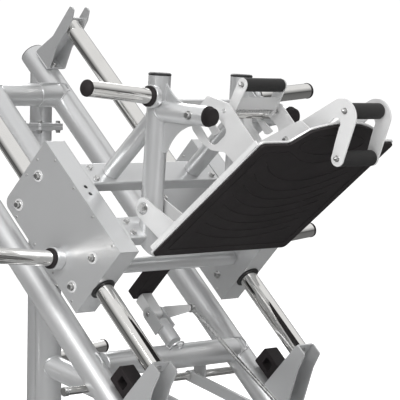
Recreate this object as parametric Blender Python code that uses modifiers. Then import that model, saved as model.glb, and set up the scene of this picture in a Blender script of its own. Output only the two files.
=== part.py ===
"""Plate-loaded 45 degree leg press: frame, guide rods, roller carriage, tilting footplate and seat.

Units are metres, +Z is up, the user sits at -Y and pushes the carriage up the slope towards +Y.
The origin is on the floor under the middle of the machine.
"""
import math

import bmesh
import bpy
from mathutils import Matrix, Vector

# ---------------------------------------------------------------- driving dimensions
GAP = 0.0003                      # air left between touching pieces
SIDES = 16                        # facets round a tube, the same on the cutter that clears it
SMALL_SIDES = 12                  # facets round a pin
SLOPE = math.radians(45)          # rail angle above the floor
RAIL_ORIGIN = Vector((0, 0.09, 0.61))   # point on the rod centre plane that rail places count from
ROD_X = 0.33                      # rod centre from the middle plane
ROD_RADIUS = 0.030
ROD_SPAN = (-0.246, 1.284)        # along the slope
TUBE_RADIUS = 0.045               # main inclined tubes
TUBE_DROP = -0.214                # main tube centre below the rod centre
TUBE_TOP = 1.363
BASE_HALF = 1.30                  # half of the base length
BASE_HEIGHT = 0.09
BASE_WIDTH = 0.10
FOOT_HEIGHT = 0.014
BASE_Z = FOOT_HEIGHT + GAP + BASE_HEIGHT / 2
MIDDLE_BAR_Y = -0.19

BOX_SPAN = (0.075, 0.550)         # carriage side box along the slope
BOX_NORMAL = (-0.112, 0.168)      # and across it
BOX_HALF_WIDTH = 0.041
BOX_WALL = 0.004
ROLLER_SPAN = (0.146, 0.495)      # roller axles along the slope
ROLLER_OFFSET = 0.066             # and above and below the rod
ROLLER_HALF_WIDTH = 0.016
AXLE_RADIUS = 0.008

UPRIGHT_X = 0.186
UPRIGHT_FOOT = Vector((0, 0.084, 0.790))
UPRIGHT_TOP = Vector((0, 0.038, 1.324))
STUB_ROOT = Vector((0, 0.045, 1.212))
STUB_END = Vector((0, -0.170, 1.193))
PIVOT = Vector((0, 0.071, 0.91))  # footplate tilt axis
LOCK_BAR = Vector((0, -0.113, 1.197))   # bar that the footplate slots ride on
PLATE_ANGLE = math.radians(37)
PLATE_FOOT = Vector((0, -0.036, 0.775))
PLATE_LENGTH = 0.572
PLATE_HALF_WIDTH = 0.306
PLATE_THICKNESS = 0.006
MAT_THICKNESS = 0.010
SIDE_PLATE_X = 0.12

SEAT_PIVOT = Vector((0, -0.93, 0.20))   # hinge of the backrest
SEAT_POST = Vector((0, 0.18, 0.010))    # top of the seat post from that hinge
BACK_ANGLE = math.radians(56)
BACK_LENGTH = 0.58
LOCK_SHAFT = Vector((0, -0.19, 0.235))
STRUT_X = 0.128                   # struts that hold the lock shaft
TIE_ROD = Vector((0, 0.215, 0.347))   # chrome tie rod under the lower crossbar
TIE_HALF = 0.43
LEVER_BEND = Vector((0, -0.500, 0.280))
LEVER_TIP = Vector((0, -0.680, 0.345))
LEVER_RADIUS = 0.0128
HANDLE_PIVOT = Vector((0, -0.172, 1.210))
HOOK_X = 0.080
FOAM_PLACES = ((0.725, -0.002), (0.6175, -0.0955))   # up and behind the footplate
PIN_REACH = 0.112                 # clamp knob from the back hinge
SHANK = 0.0310                    # knob shank, which ends short of the sector's face
PIN_LAG = 20                      # degrees that the knob trails the back frame by
RECLINE = 15                      # degrees that the backrest comes upright by
UPPER_CROSS = Vector((0, 1.046, 1.270))
STOP_PIVOT_RAIL = (0.075, -0.150)
CATCH_LEVEL = 0.148               # underside of the catch block along the slope
CRANK = Vector((0, -0.10, 0.02))  # same offset on the lock shaft and on the stop arm
LINK_X = 0.068

PARTS = bpy.data.collections.new("leg_press")
SHAPERS = bpy.data.collections.new("cutters_and_members")
MATERIALS = {}


# ---------------------------------------------------------------- places and tools
def rail(along, across=0.0, x=0.0):
    """Point given along the slope and square to it."""
    direction = Vector((0, math.cos(SLOPE), math.sin(SLOPE)))
    normal = Vector((0, -math.sin(SLOPE), math.cos(SLOPE)))
    return RAIL_ORIGIN + direction * along + normal * across + Vector((x, 0, 0))


def plate(up, back=0.0, x=0.0):
    """Point given up the footplate and behind its back face."""
    along = Vector((0, -math.cos(PLATE_ANGLE), math.sin(PLATE_ANGLE)))
    normal = Vector((0, math.sin(PLATE_ANGLE), math.cos(PLATE_ANGLE)))
    return PLATE_FOOT + along * up + normal * back + Vector((x, 0, 0))


def material(name, colour, roughness, metallic):
    """Principled material, made once for each name."""
    if name not in MATERIALS:
        made = bpy.data.materials.new(name)
        made.use_nodes = True
        shader = made.node_tree.nodes["Principled BSDF"]
        shader.inputs["Base Color"].default_value = (*colour, 1)
        shader.inputs["Roughness"].default_value = roughness
        shader.inputs["Metallic"].default_value = metallic
        MATERIALS[name] = made
    return MATERIALS[name]


def paint():
    return material("silver_paint", (0.56, 0.57, 0.59), 0.32, 0.35)


def chrome():
    return material("chrome", (0.75, 0.75, 0.74), 0.08, 1.0)


def bright_plate():
    return material("bright_plate", (0.80, 0.80, 0.80), 0.25, 0.4)


def rubber():
    return material("black_rubber", (0.025, 0.024, 0.025), 0.75, 0.0)


def foam():
    return material("black_foam", (0.030, 0.030, 0.031), 0.85, 0.0)


def zinc():
    return material("zinc_steel", (0.55, 0.56, 0.58), 0.35, 1.0)


def upholstery():
    return material("black_upholstery", (0.030, 0.030, 0.032), 0.55, 0.0)


def keep(name, mesh, finish, matrix=None):
    """Put a mesh in the scene, as a part when it has a finish and as a shaper when it has none."""
    item = bpy.data.objects.new(name, mesh)
    if matrix is not None:
        item.matrix_world = matrix
    if finish is None:
        SHAPERS.objects.link(item)
        item.hide_render = True
        item.display_type = "WIRE"
    else:
        PARTS.objects.link(item)
        mesh.materials.append(finish)
        mesh.shade_smooth()
        mesh.set_sharp_from_angle(angle=math.radians(35))
    return item


def frame_matrix(origin, x_axis, y_axis, z_axis):
    """World matrix from an origin and three axes."""
    rotation = Matrix((x_axis, y_axis, z_axis)).transposed().to_4x4()
    return Matrix.Translation(origin) @ rotation


def facing(origin, direction):
    """Matrix whose Z axis follows a direction."""
    turn = direction.to_track_quat("Z", "Y").to_matrix().to_4x4()
    return Matrix.Translation(origin) @ turn


def rod(name, start, end, radius, finish=None, sides=SIDES):
    """Cylinder between two points."""
    mesh = bpy.data.meshes.new(name)
    shape = bmesh.new()
    axis = end - start
    bmesh.ops.create_cone(shape, cap_ends=True, segments=sides, radius1=radius, radius2=radius,
                          depth=axis.length)
    shape.to_mesh(mesh)
    shape.free()
    return keep(name, mesh, finish, facing((start + end) / 2, axis))


def turned(name, origin, direction, profile, finish=None, sides=SIDES, closed=False):
    """Solid of revolution: the profile's (radius, height) points run from the top to the bottom."""
    mesh = bpy.data.meshes.new(name)
    edges = [(i, i + 1) for i in range(len(profile) - 1)]
    if closed:
        edges.append((len(profile) - 1, 0))
    mesh.from_pydata([(radius, 0, height) for radius, height in profile], edges, [])
    item = keep(name, mesh, finish, facing(origin, direction))
    screw = item.modifiers.new("turn", "SCREW")
    screw.steps = sides
    screw.render_steps = sides
    screw.use_merge_vertices = True
    screw.merge_threshold = 0.0001
    screw.use_smooth_shade = True
    return item


def block(name, centre, size, finish=None, tilt=0.0, bevel=0.0):
    """Box turned about X by tilt, with rounded edges when bevel is given."""
    mesh = bpy.data.meshes.new(name)
    shape = bmesh.new()
    bmesh.ops.create_cube(shape, size=1.0)
    bmesh.ops.scale(shape, vec=size, verts=shape.verts)
    if bevel:
        bmesh.ops.bevel(shape, geom=shape.edges[:], offset=bevel, segments=1, profile=0.5,
                        affect="EDGES")
    shape.to_mesh(mesh)
    shape.free()
    return keep(name, mesh, finish, Matrix.Translation(centre) @ Matrix.Rotation(tilt, 4, "X"))


def rail_block(name, along, across, x_span, finish=None, bevel=0.0):
    """Box given by its spans along the slope, square to it and across the machine."""
    middle = rail(sum(along) / 2, sum(across) / 2, sum(x_span) / 2)
    size = (x_span[1] - x_span[0], along[1] - along[0], across[1] - across[0])
    return block(name, middle, size, finish, SLOPE, bevel)


def sheet(name, outline, matrix, thickness, finish=None, holes=()):
    """Flat plate: an outline and its holes in the XY plane of a matrix, centred on that plane."""
    curve = bpy.data.curves.new(name, "CURVE")
    curve.dimensions = "2D"
    curve.fill_mode = "BOTH"
    curve.extrude = thickness / 2
    for ring in (outline, *holes):
        spline = curve.splines.new("POLY")
        spline.points.add(len(ring) - 1)
        for point, (u, v) in zip(spline.points, ring):
            point.co = (u, v, 0, 1)
        spline.use_cyclic_u = True
    source = bpy.data.objects.new(name + "_outline", curve)
    SHAPERS.objects.link(source)
    bpy.context.view_layer.update()
    evaluated = source.evaluated_get(bpy.context.evaluated_depsgraph_get())
    mesh = bpy.data.meshes.new_from_object(evaluated)
    shape = bmesh.new()
    shape.from_mesh(mesh)
    bmesh.ops.remove_doubles(shape, verts=shape.verts, dist=0.00001)
    bmesh.ops.recalc_face_normals(shape, faces=shape.faces)
    shape.to_mesh(mesh)
    shape.free()
    mesh.materials.clear()
    bpy.data.objects.remove(source)
    return keep(name, mesh, finish, matrix)


def arc(centre, radius, start, end, steps=10):
    """Points on an arc, angles in degrees, from start to end."""
    angles = [math.radians(start + (end - start) * i / steps) for i in range(steps + 1)]
    return [(centre[0] + radius * math.cos(a), centre[1] + radius * math.sin(a)) for a in angles]


def rounded(corners, radius, steps=4):
    """Outline through corners whose turns are rounded."""
    ring = []
    for index, corner in enumerate(corners):
        here = Vector(corner)
        before = (Vector(corners[index - 1]) - here).normalized()
        after = (Vector(corners[(index + 1) % len(corners)]) - here).normalized()
        half = before.angle(after) / 2
        reach = radius / math.tan(half)
        centre = here + (before + after).normalized() * radius / math.sin(half)
        first = here + before * reach - centre
        last = here + after * reach - centre
        sweep = first.angle_signed(last)
        ring += [tuple(centre + Matrix.Rotation(-sweep * i / steps, 2) @ first)
                 for i in range(steps + 1)]
    return ring


def shape_with(item, tools, operation):
    """Cut an object by shapers, or weld shapers to it."""
    for tool in tools:
        modifier = item.modifiers.new(tool.name, "BOOLEAN")
        modifier.operation = operation
        modifier.solver = "EXACT"
        modifier.object = tool
    return item


def cut(item, *tools):
    return shape_with(item, tools, "DIFFERENCE")


def weld(item, *tools):
    return shape_with(item, tools, "UNION")


def both_sides():
    """Names and signs of the two sides, the user's left being -X."""
    return (("left", -1), ("right", 1))


def tube_space(sign):
    """Cutter for whatever butts against a main tube."""
    return rod(f"tube_space_{sign}", rail(-0.7, TUBE_DROP, sign * ROD_X),
               rail(1.5, TUBE_DROP, sign * ROD_X), TUBE_RADIUS + GAP)


# ---------------------------------------------------------------- fixed frame
def build_rails():
    """Chrome guide rods and the painted tubes under them."""
    floor_cut = block("floor_cut", Vector((0, -0.4, BASE_Z + BASE_HEIGHT / 2 + GAP - 0.25)),
                      (1.4, 1.2, 0.5))
    for side, sign in both_sides():
        x = sign * ROD_X
        rod(f"guide_rod_{side}", rail(ROD_SPAN[0], 0, x), rail(ROD_SPAN[1], 0, x), ROD_RADIUS,
            chrome())
        main = rod(f"main_tube_{side}", rail(-0.75, TUBE_DROP, x), rail(TUBE_TOP, TUBE_DROP, x),
                   TUBE_RADIUS, paint())
        cut(main, floor_cut)


def build_rod_brackets():
    """Folded brackets that hold each rod end off its main tube, and the rubber bumpers."""
    tube_top = TUBE_DROP + TUBE_RADIUS
    thickness = 0.006
    for side, sign in both_sides():
        x = sign * ROD_X
        for end, seat, slant in (("lower", ROD_SPAN[0], -1), ("upper", ROD_SPAN[1], 1)):
            corners, sole_span = cheek_corners(end, tube_top + GAP)
            outline = rounded(corners, 0.010, 3)
            matrix = frame_matrix(rail(seat + slant * GAP, 0, x - 0.040 + thickness / 2),
                                  *side_axes())
            bracket = sheet(f"{end}_rod_bracket_{side}", outline, matrix, thickness, paint())
            matrix = frame_matrix(rail(seat + slant * GAP, 0, x + 0.040 - thickness / 2),
                                  *side_axes())
            cheek = sheet(f"{end}_cheek_{side}", outline, matrix, thickness)
            start = seat + slant * GAP
            web = rail_block(f"{end}_web_{side}", sorted((start, start + slant * thickness)),
                             (tube_top + GAP, 0.036), (x - 0.038, x + 0.038))
            sole = rail_block(f"{end}_sole_{side}", [start + s for s in sole_span],
                              (tube_top + GAP, tube_top + GAP + thickness), (x - 0.038, x + 0.038))
            weld(bracket, cheek, web, sole)
        rubber_block = rail_block(f"bumper_{side}", (ROD_SPAN[0] + GAP, -0.158),
                                  (-0.150, -0.086), (x - 0.029, x + 0.029), rubber(), 0.005)
        pocket = rail_block(f"bumper_pocket_{side}", (-0.220, -0.186), (-0.132, -0.102),
                            (x - 0.040, x + 0.040))
        cut(rubber_block, pocket)


def cheek_corners(end, sole):
    """Corners of a rod bracket's cheek from its web, and the span of its sole."""
    if end == "lower":
        return ([(0, 0.036), (-0.046, 0.036), (-0.060, -0.02), (-0.128, sole), (0, sole)],
                (-0.118, 0))
    return ([(-0.060, sole), (0.038, sole), (0.032, -0.142), (0.011, -0.063), (0.020, 0.078),
             (-0.004, 0.078), (-0.022, 0.046), (-0.029, -0.004), (-0.030, -0.080)],
            (-0.052, 0.034))


def side_axes():
    """Axes of a plate that stands along the slope: first up the slope, then square to it."""
    return (Vector((0, math.cos(SLOPE), math.sin(SLOPE))),
            Vector((0, -math.sin(SLOPE), math.cos(SLOPE))), Vector((1, 0, 0)))


def build_cross_tubes():
    """Tubes that tie the two main tubes, with the stop post on the lower one."""
    spaces = [tube_space(-1), tube_space(1)]
    low = rail(-0.068, -0.200)
    lower = rod("lower_crossbar", low - Vector((ROD_X, 0, 0)), low + Vector((ROD_X, 0, 0)),
                0.040, paint())
    post = rod("stop_post", rail(-0.050, -0.150), rail(0.035, -0.150), 0.026)
    ears = [rail_block(f"stop_ear_{sign}", (0.005, 0.092), (-0.172, -0.128),
                       (sign * 0.027 - 0.004, sign * 0.027 + 0.004)) for sign in (-1, 1)]
    tie = rod("tie_rod", TIE_ROD - Vector((TIE_HALF, 0, 0)), TIE_ROD + Vector((TIE_HALF, 0, 0)),
              0.0125)
    hangers = [block(f"tie_hanger_{sign}", Vector((sign * 0.165, 0.203, 0.372)),
                     (0.012, 0.046, 0.080)) for sign in (-1, 1)]
    weld(lower, post, *ears)
    pivot = rail(*STOP_PIVOT_RAIL)
    bore = rod("stop_bore", pivot - Vector((0.04, 0, 0)), pivot + Vector((0.04, 0, 0)), 0.0083,
               sides=SMALL_SIDES)
    cut(lower, *spaces, bore)
    weld(lower, *hangers, tie)
    upper = rod("upper_crossbar", UPPER_CROSS - Vector((ROD_X, 0, 0)),
                UPPER_CROSS + Vector((ROD_X, 0, 0)), 0.0435, paint())
    centre = rod("center_tube", rail(0.62, TUBE_DROP), UPPER_CROSS, 0.045)
    weld(upper, centre)
    cut(upper, *spaces)


def build_rear_frame():
    """Rear posts with bolted flanges, and the column with the spine tube to the seat."""
    top_of_base = BASE_Z + BASE_HEIGHT / 2 + GAP
    for side, sign in both_sides():
        x = sign * ROD_X
        post = rod(f"rear_post_{side}", Vector((x, 1.185, 0.05)), Vector((x, 1.156, 1.355)), 0.040,
                   paint())
        flange = block(f"post_flange_{side}", Vector((x, 1.160, 1.155)), (0.120, 0.120, 0.024))
        weld(post, flange)
        level = block(f"post_foot_cut_{side}", Vector((x, 1.2, top_of_base - 0.1)),
                      (0.2, 0.2, 0.2))
        cut(post, tube_space(sign), level)
    column = rod("center_column", Vector((0, 0.76, 0.05)), Vector((0, 0.76, 0.95)), 0.045,
                 paint())
    spine = rod("spine_tube", Vector((0, 0.76, 0.350)), Vector((0, -0.215, 0.130)), 0.040)
    weld(column, spine)
    floor_cut = block("column_foot_cut", Vector((0, 0.25, top_of_base - 0.1)), (0.2, 1.4, 0.2))
    centre_space = rod("center_tube_space", rail(0.55, TUBE_DROP), rail(1.1, TUBE_DROP),
                       0.045 + GAP)
    cut(column, floor_cut, centre_space)


def build_base():
    """Floor weldments with their rubber feet, and the storage horns on the rear posts."""
    end_bar = BASE_HALF - BASE_WIDTH / 2
    rear = floor_bar("rear_base_frame", end_bar, 0.42, paint())
    middle = floor_bar("middle_base_bar", MIDDLE_BAR_Y, 0.42)
    floor_tube = block("floor_tube", Vector((0, (end_bar + MIDDLE_BAR_Y) / 2, BASE_Z)),
                       (0.080, end_bar - MIDDLE_BAR_Y, 0.070))
    weld(rear, middle, floor_tube)
    run = TIE_ROD - LOCK_SHAFT
    strut = arc((run.length, 0), 0.018, -90, 90, 6) + arc((0, 0), 0.018, 90, 270, 6)
    for sign in (-1, 1):
        x = sign * STRUT_X
        post_top = LOCK_SHAFT.z + 0.012
        post_low = BASE_Z + BASE_HEIGHT / 2 - 0.005
        weld(rear, block(f"shaft_post_{sign}", Vector((x, MIDDLE_BAR_Y, (post_top + post_low) / 2)),
                         (0.030, 0.036, post_top - post_low)),
             sheet(f"shaft_strut_{sign}", strut,
                   frame_matrix(LOCK_SHAFT + Vector((x, 0, 0)), run.normalized(),
                                Vector((1, 0, 0)).cross(run.normalized()), Vector((1, 0, 0))),
                   0.012))
    for name, centre in (("shaft_bore", LOCK_SHAFT), ("tie_bore", TIE_ROD)):
        cut(rear, rod(name, centre - Vector((0.3, 0, 0)), centre + Vector((0.3, 0, 0)), 0.0128))
    front = floor_bar("seat_base_frame", -end_bar, 0.30, paint())
    seat_end = MIDDLE_BAR_Y - BASE_WIDTH / 2 - GAP
    spine = block("seat_spine", Vector((0, (seat_end - end_bar) / 2, BASE_Z)),
                  (0.080, seat_end + end_bar, 0.070))
    weld(front, spine)
    for name, y, half in (("front", -end_bar, 0.30), ("rear", end_bar, 0.42)):
        for side, sign in both_sides():
            block(f"{name}_foot_{side}", Vector((sign * (half - 0.06), y, FOOT_HEIGHT / 2)),
                  (0.090, 0.080, FOOT_HEIGHT), rubber(), bevel=0.003)
    for side, sign in both_sides():
        start = Vector((sign * (ROD_X + 0.030), 1.178, 0.299))
        tip = Vector((sign * 0.66, 1.178, 0.328))
        profile = [(0, 0.30), (0.021, 0.30), (0.025, 0.296), (0.025, 0.040), (0.036, 0.040),
                   (0.036, 0.0), (0, 0.0)]
        horn = turned(f"storage_horn_{side}", start, tip - start, profile, chrome())
        space = rod(f"post_space_{side}", Vector((sign * ROD_X, 1.185, 0.05)),
                    Vector((sign * ROD_X, 1.155, 1.40)), 0.040 + GAP)
        cut(horn, space)


def floor_bar(name, y, half, finish=None):
    """Rectangular tube across the machine on the floor."""
    return block(name, Vector((0, y, BASE_Z)), (2 * half, BASE_WIDTH, BASE_HEIGHT), finish,
                 bevel=0.010)


# ---------------------------------------------------------------- carriage
def build_carriage_boxes():
    """Sheet steel side boxes round the rods, with the roller axles bolted through them."""
    corner = 0.030
    for side, sign in both_sides():
        x = sign * ROD_X
        length = BOX_SPAN[1] - BOX_SPAN[0]
        low, high = BOX_NORMAL
        outline = ([(0, low), (length - corner, low)]
                   + arc((length - corner, low + corner), corner, -90, 0, 4)[1:]
                   + [(length, high), (0, high)])
        matrix = frame_matrix(rail(BOX_SPAN[0], 0, x), *side_axes())
        box = sheet(f"carriage_box_{side}", outline, matrix, 2 * BOX_HALF_WIDTH, paint())
        inner = [(BOX_WALL, low + BOX_WALL), (length + 0.02, low + BOX_WALL),
                 (length + 0.02, high - BOX_WALL), (BOX_WALL, high - BOX_WALL)]
        hollow = sheet(f"box_hollow_{side}", inner, matrix, 2 * (BOX_HALF_WIDTH - BOX_WALL))
        mouth = rod(f"box_mouth_{side}", rail(0.0, 0, x), rail(0.2, 0, x), 0.0355)
        cut(box, hollow, mouth)
        for along in ROLLER_SPAN:
            for level in (-1, 1):
                centre = rail(along, level * ROLLER_OFFSET, x)
                place = f"{side}_{ROLLER_SPAN.index(along)}_{level}"
                reach = Vector((BOX_HALF_WIDTH - 0.001, 0, 0))
                axle = rod(f"axle_{place}", centre - reach, centre + reach, AXLE_RADIUS, sides=SMALL_SIDES)
                washer = rod(f"washer_{place}",
                             centre + sign * Vector((BOX_HALF_WIDTH - 0.002, 0, 0)),
                             centre + sign * Vector((BOX_HALF_WIDTH + 0.003, 0, 0)), 0.019,
                             sides=SMALL_SIDES)
                weld(box, axle, washer)
    build_rollers()


def build_rollers():
    """Grooved rollers that run on the top and the underside of each rod."""
    half = ROLLER_HALF_WIDTH
    groove = [half - 2 * half * i / 4 for i in range(5)]
    rim = [(ROLLER_OFFSET - GAP - math.sqrt(ROD_RADIUS ** 2 - z * z), z) for z in groove]
    bore = AXLE_RADIUS + GAP
    profile = [(bore, half + 0.002), (rim[0][0], half + 0.002), *rim,
               (rim[-1][0], -half - 0.002), (bore, -half - 0.002)]
    for side, sign in both_sides():
        for along, place in zip(ROLLER_SPAN, ("lower", "upper")):
            for level, face in ((1, "top"), (-1, "under")):
                centre = rail(along, level * ROLLER_OFFSET, sign * ROD_X)
                turned(f"roller_{side}_{place}_{face}", centre, Vector((1, 0, 0)), profile,
                       zinc(), closed=True)


def build_carriage_frame():
    """Beams and catch tube between the boxes, and the weldment that carries the footplate."""
    inside = ROD_X - BOX_HALF_WIDTH - GAP
    face = BOX_NORMAL[1]
    rail_block("carriage_beam", (0.361, 0.451), (face - 0.040, face), (-inside, inside), paint(),
               0.004)
    rail_block("front_beam", (0.130, 0.220), (face - 0.040, face), (-inside, inside), paint(),
               0.004)
    catch = rail(0.145, 0.02)
    half = Vector((inside, 0, 0))
    rod("catch_tube", catch - half, catch + half, 0.024, paint())
    block_on_catch = rail_block("catch_block", (CATCH_LEVEL, 0.186), (-0.162, 0.030), (-0.035, 0.035),
                                rubber(), 0.003)
    cut(block_on_catch, rod("catch_tube_space", catch - half, catch + half, 0.024 + GAP))
    frame = block("upright_frame", Vector((0, 0.048, 1.222)), (2 * UPRIGHT_X, 0.050, 0.050),
                  paint(), bevel=0.006)
    for side, sign in both_sides():
        shift = Vector((sign * UPRIGHT_X, 0, 0))
        post = rod(f"upright_{side}", UPRIGHT_FOOT + shift, UPRIGHT_TOP + shift, 0.035)
        brace = rod(f"brace_{side}", rail(0.406, 0.10) + shift, Vector((0, 0.060, 1.190)) + shift,
                    0.0285)
        stub = rod(f"tilt_stub_{side}", STUB_ROOT + shift, STUB_END + shift, 0.0315)
        weld(frame, post, brace, stub)
    inner_stub = UPRIGHT_X - 0.005
    bar = rod("lock_bar", LOCK_BAR - Vector((inner_stub, 0, 0)),
              LOCK_BAR + Vector((inner_stub, 0, 0)), 0.011)
    weld(frame, bar)
    cut(frame, rail_block("beam_space", (0.0, 0.6), (-0.1, face + GAP), (-inside, inside)))


def build_weight_horns():
    """Chrome pegs that hold the plates, two high on the uprights and two on the side boxes."""
    for side, sign in both_sides():
        root = Vector((sign * (UPRIGHT_X + 0.010), 0.032, 1.252))
        tip = Vector((sign * 0.500, 0.032, 1.278))
        horn = turned(f"upper_horn_{side}", root, tip - root, horn_profile((tip - root).length),
                      chrome())
        x = Vector((sign * UPRIGHT_X, 0, 0))
        cut(horn, rod(f"upright_space_{side}", UPRIGHT_FOOT + x, UPRIGHT_TOP + x, 0.035 + GAP),
            rod(f"stub_space_{side}", STUB_ROOT + x, STUB_END + x, 0.0315 + GAP))
        root = Vector((sign * (ROD_X + BOX_HALF_WIDTH - 0.010), 0.300, 0.749))
        tip = Vector((sign * 0.830, 0.300, 0.792))
        horn = turned(f"lower_horn_{side}", root, tip - root, horn_profile((tip - root).length),
                      chrome())
        cut(horn, rail_block(f"lower_horn_space_{side}", (0.0, 0.6), (-0.2, 0.2),
                             sorted((0, sign * (ROD_X + BOX_HALF_WIDTH + GAP)))))


def horn_profile(length):
    """Peg with a welded collar at its root, a rubber ring seat and a rounded tip."""
    return [(0, length), (0.020, length), (0.025, length - 0.005), (0.025, 0.045),
            (0.036, 0.045), (0.036, 0.0), (0, 0.0)]


# ---------------------------------------------------------------- footplate
def plate_axes():
    """Axes of a plate square to the footplate: up it, then behind it."""
    up = Vector((0, -math.cos(PLATE_ANGLE), math.sin(PLATE_ANGLE)))
    back = Vector((0, math.sin(PLATE_ANGLE), math.cos(PLATE_ANGLE)))
    return up, back, up.cross(back)


def footplate_outline(inset=0.0):
    """Outline across and up the footplate, with its raised rounded top."""
    half = PLATE_HALF_WIDTH - inset
    top = PLATE_LENGTH - inset
    rise, crown, half_crown = 0.062, 0.094, 0.146
    radius = (half_crown ** 2 + (crown - rise) ** 2) / (2 * (crown - rise))
    spread = math.degrees(math.asin(half_crown / radius))
    centre = (0, top + crown - radius)
    lower = rounded([(half - 0.1, inset), (half, inset), (half, top), (0.187, top)], 0.016, 3)
    right_side = [point for point in lower[4:12]]
    crest = arc(centre, radius, 90 - spread, 90 + spread, 12)
    left_side = [(-x, y) for x, y in reversed(right_side)]
    shoulder = [(0.187, top)]
    return right_side + shoulder + crest + [(-0.187, top)] + left_side


def build_footplate():
    """Steel tray with its pivot lugs, the rubber mat and the slotted tilt plates behind."""
    across = Vector((1, 0, 0))
    up, back, _ = plate_axes()
    flat = frame_matrix(plate(0, PLATE_THICKNESS / 2), across, up, across.cross(up))
    deck = sheet("footplate", footplate_outline(), flat, PLATE_THICKNESS, bright_plate())
    pivot_up, pivot_back = local(PIVOT)
    lug = ([(0.012, 0.003), (0.105, 0.003)]
           + arc((pivot_up, pivot_back), 0.034, 50, 200, 8))
    for side, sign in both_sides():
        flange = block(f"tray_edge_{side}",
                       plate(PLATE_LENGTH / 2, 0.010, sign * (PLATE_HALF_WIDTH - 0.003)),
                       (0.006, PLATE_LENGTH - 0.034, 0.020), tilt=math.pi - PLATE_ANGLE)
        weld(deck, flange)
        for reach in (-0.0385, 0.0385):
            x = sign * UPRIGHT_X + reach
            weld(deck, sheet(f"lug_{side}_{reach}", lug, frame_matrix(plate(0, 0, x), *plate_axes()),
                             0.006))
    mat_place = frame_matrix(plate(0, -GAP - MAT_THICKNESS / 2), across, up, across.cross(up))
    sheet("footplate_mat", footplate_outline(0.004), mat_place, MAT_THICKNESS, rubber())
    weld(deck, *tilt_plates())
    build_hook_plates()


def local(point):
    """Distances up the footplate and behind it."""
    up, back, _ = plate_axes()
    offset = point - PLATE_FOOT
    return offset.dot(up), offset.dot(back)


def ring(centre, radius, steps=14):
    """Round hole outline."""
    return arc(centre, radius, 0, 360 * (steps - 1) / steps, steps - 1)


def tilt_plates():
    """Two plates welded behind the footplate, each with the curved slot for the lock bar."""
    pivot = local(PIVOT)
    bar = local(LOCK_BAR)
    reach = math.hypot(bar[0] - pivot[0], bar[1] - pivot[1])
    angle = math.degrees(math.atan2(bar[1] - pivot[1], bar[0] - pivot[0]))
    half_slot = 0.0125
    low = angle - 11
    cap_high = (pivot[0] + reach * math.cos(math.radians(angle)),
                pivot[1] + reach * math.sin(math.radians(angle)))
    hook = [(0.300, 0.2285), (0.289, 0.236), (0.288, 0.296), (0.2755, 0.304), (0.263, 0.296),
            (0.264, 0.238), (0.273, 0.214), (0.291, 0.2035), (0.322, 0.2035), (0.338, 0.210)]
    slot = (arc(pivot, reach + half_slot, low, angle, 5)
            + arc(cap_high, half_slot, angle, angle + 180, 6)[1:-1]
            + arc(pivot, reach - half_slot, angle, low, 5) + hook)
    edge = PLATE_THICKNESS / 2
    outline = rounded([(0.285, edge), (0.620, edge), (0.600, 0.060), (0.415, 0.110),
                       (0.400, 0.272), (0.345, 0.345), (0.245, 0.335), (0.230, 0.298),
                       (0.235, 0.248), (0.256, 0.202), (0.296, 0.164), (0.308, 0.120)], 0.010, 3)
    hole = ring(local(HANDLE_PIVOT), 0.0073)
    return [sheet(f"tilt_plate_{side}", outline,
                  frame_matrix(plate(0, 0, sign * SIDE_PLATE_X), *plate_axes()), 0.006, None,
                  (slot, hole)) for side, sign in both_sides()]


def build_hook_plates():
    """Cane shaped plates that hook over the top edge and carry the two foam rollers."""
    edge = PLATE_THICKNESS + GAP
    upper, lower = FOAM_PLACES
    bend = (0.702, -0.008)
    outline = ([(0.240, edge), (0.668, edge)]
               + arc((0.676, -0.010), 0.017, 95, -80, 5)
               + [(0.640, -0.052)]
               + arc(lower, 0.023, 110, 300, 8)
               + arc(bend, 0.056, -48, 78, 10)
               + [(0.560, 0.078), (0.260, 0.060)])
    for side, sign in both_sides():
        sheet(f"hook_plate_{side}", outline,
              frame_matrix(plate(0, 0, sign * HOOK_X), *plate_axes()), 0.006, bright_plate(),
              (ring(upper, 0.0073), ring(lower, 0.0073)))
    half = HOOK_X - 0.003 - 0.001
    core = HOOK_X + 0.003
    profile = [(0, core), (0.007, core), (0.007, half), (0.020, half), (0.024, half - 0.004),
               (0.024, -half + 0.004), (0.020, -half), (0.007, -half), (0.007, -core), (0, -core)]
    for name, place in (("upper", upper), ("lower", lower)):
        turned(f"foam_roller_{name}", plate(*place), Vector((1, 0, 0)), profile, foam())


def build_tilt_handle():
    """Sprung handle whose tails close on the lock bar, with its foam grip."""
    grip = Vector((0, -0.219, 1.290))
    handle = rod("tilt_handle", HANDLE_PIVOT - Vector((0.1225, 0, 0)),
                 HANDLE_PIVOT + Vector((0.1225, 0, 0)), 0.007, zinc(), sides=SMALL_SIDES)
    core = rod("grip_core", grip - Vector((0.092, 0, 0)), grip + Vector((0.092, 0, 0)), 0.008,
               sides=SMALL_SIDES)
    weld(handle, core)
    axis = grip - HANDLE_PIVOT
    reach = axis.length
    ear = (arc((reach, 0), 0.020, 90, -90, 8) + arc((0, 0), 0.017, -90, -270, 8))
    for side, sign in both_sides():
        place = HANDLE_PIVOT + Vector((sign * 0.090, 0, 0))
        direction = axis.normalized()
        weld(handle, sheet(f"ear_{side}", ear,
                           frame_matrix(place, direction, Vector((1, 0, 0)).cross(direction),
                                        Vector((1, 0, 0))), 0.005))
    sleeve = [(0.0083, 0.0865), (0.019, 0.0865), (0.021, 0.0845), (0.021, -0.0845),
              (0.019, -0.0865), (0.0083, -0.0865)]
    turned("tilt_handle_grip", grip, Vector((1, 0, 0)), sleeve, foam(), closed=True)


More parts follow.
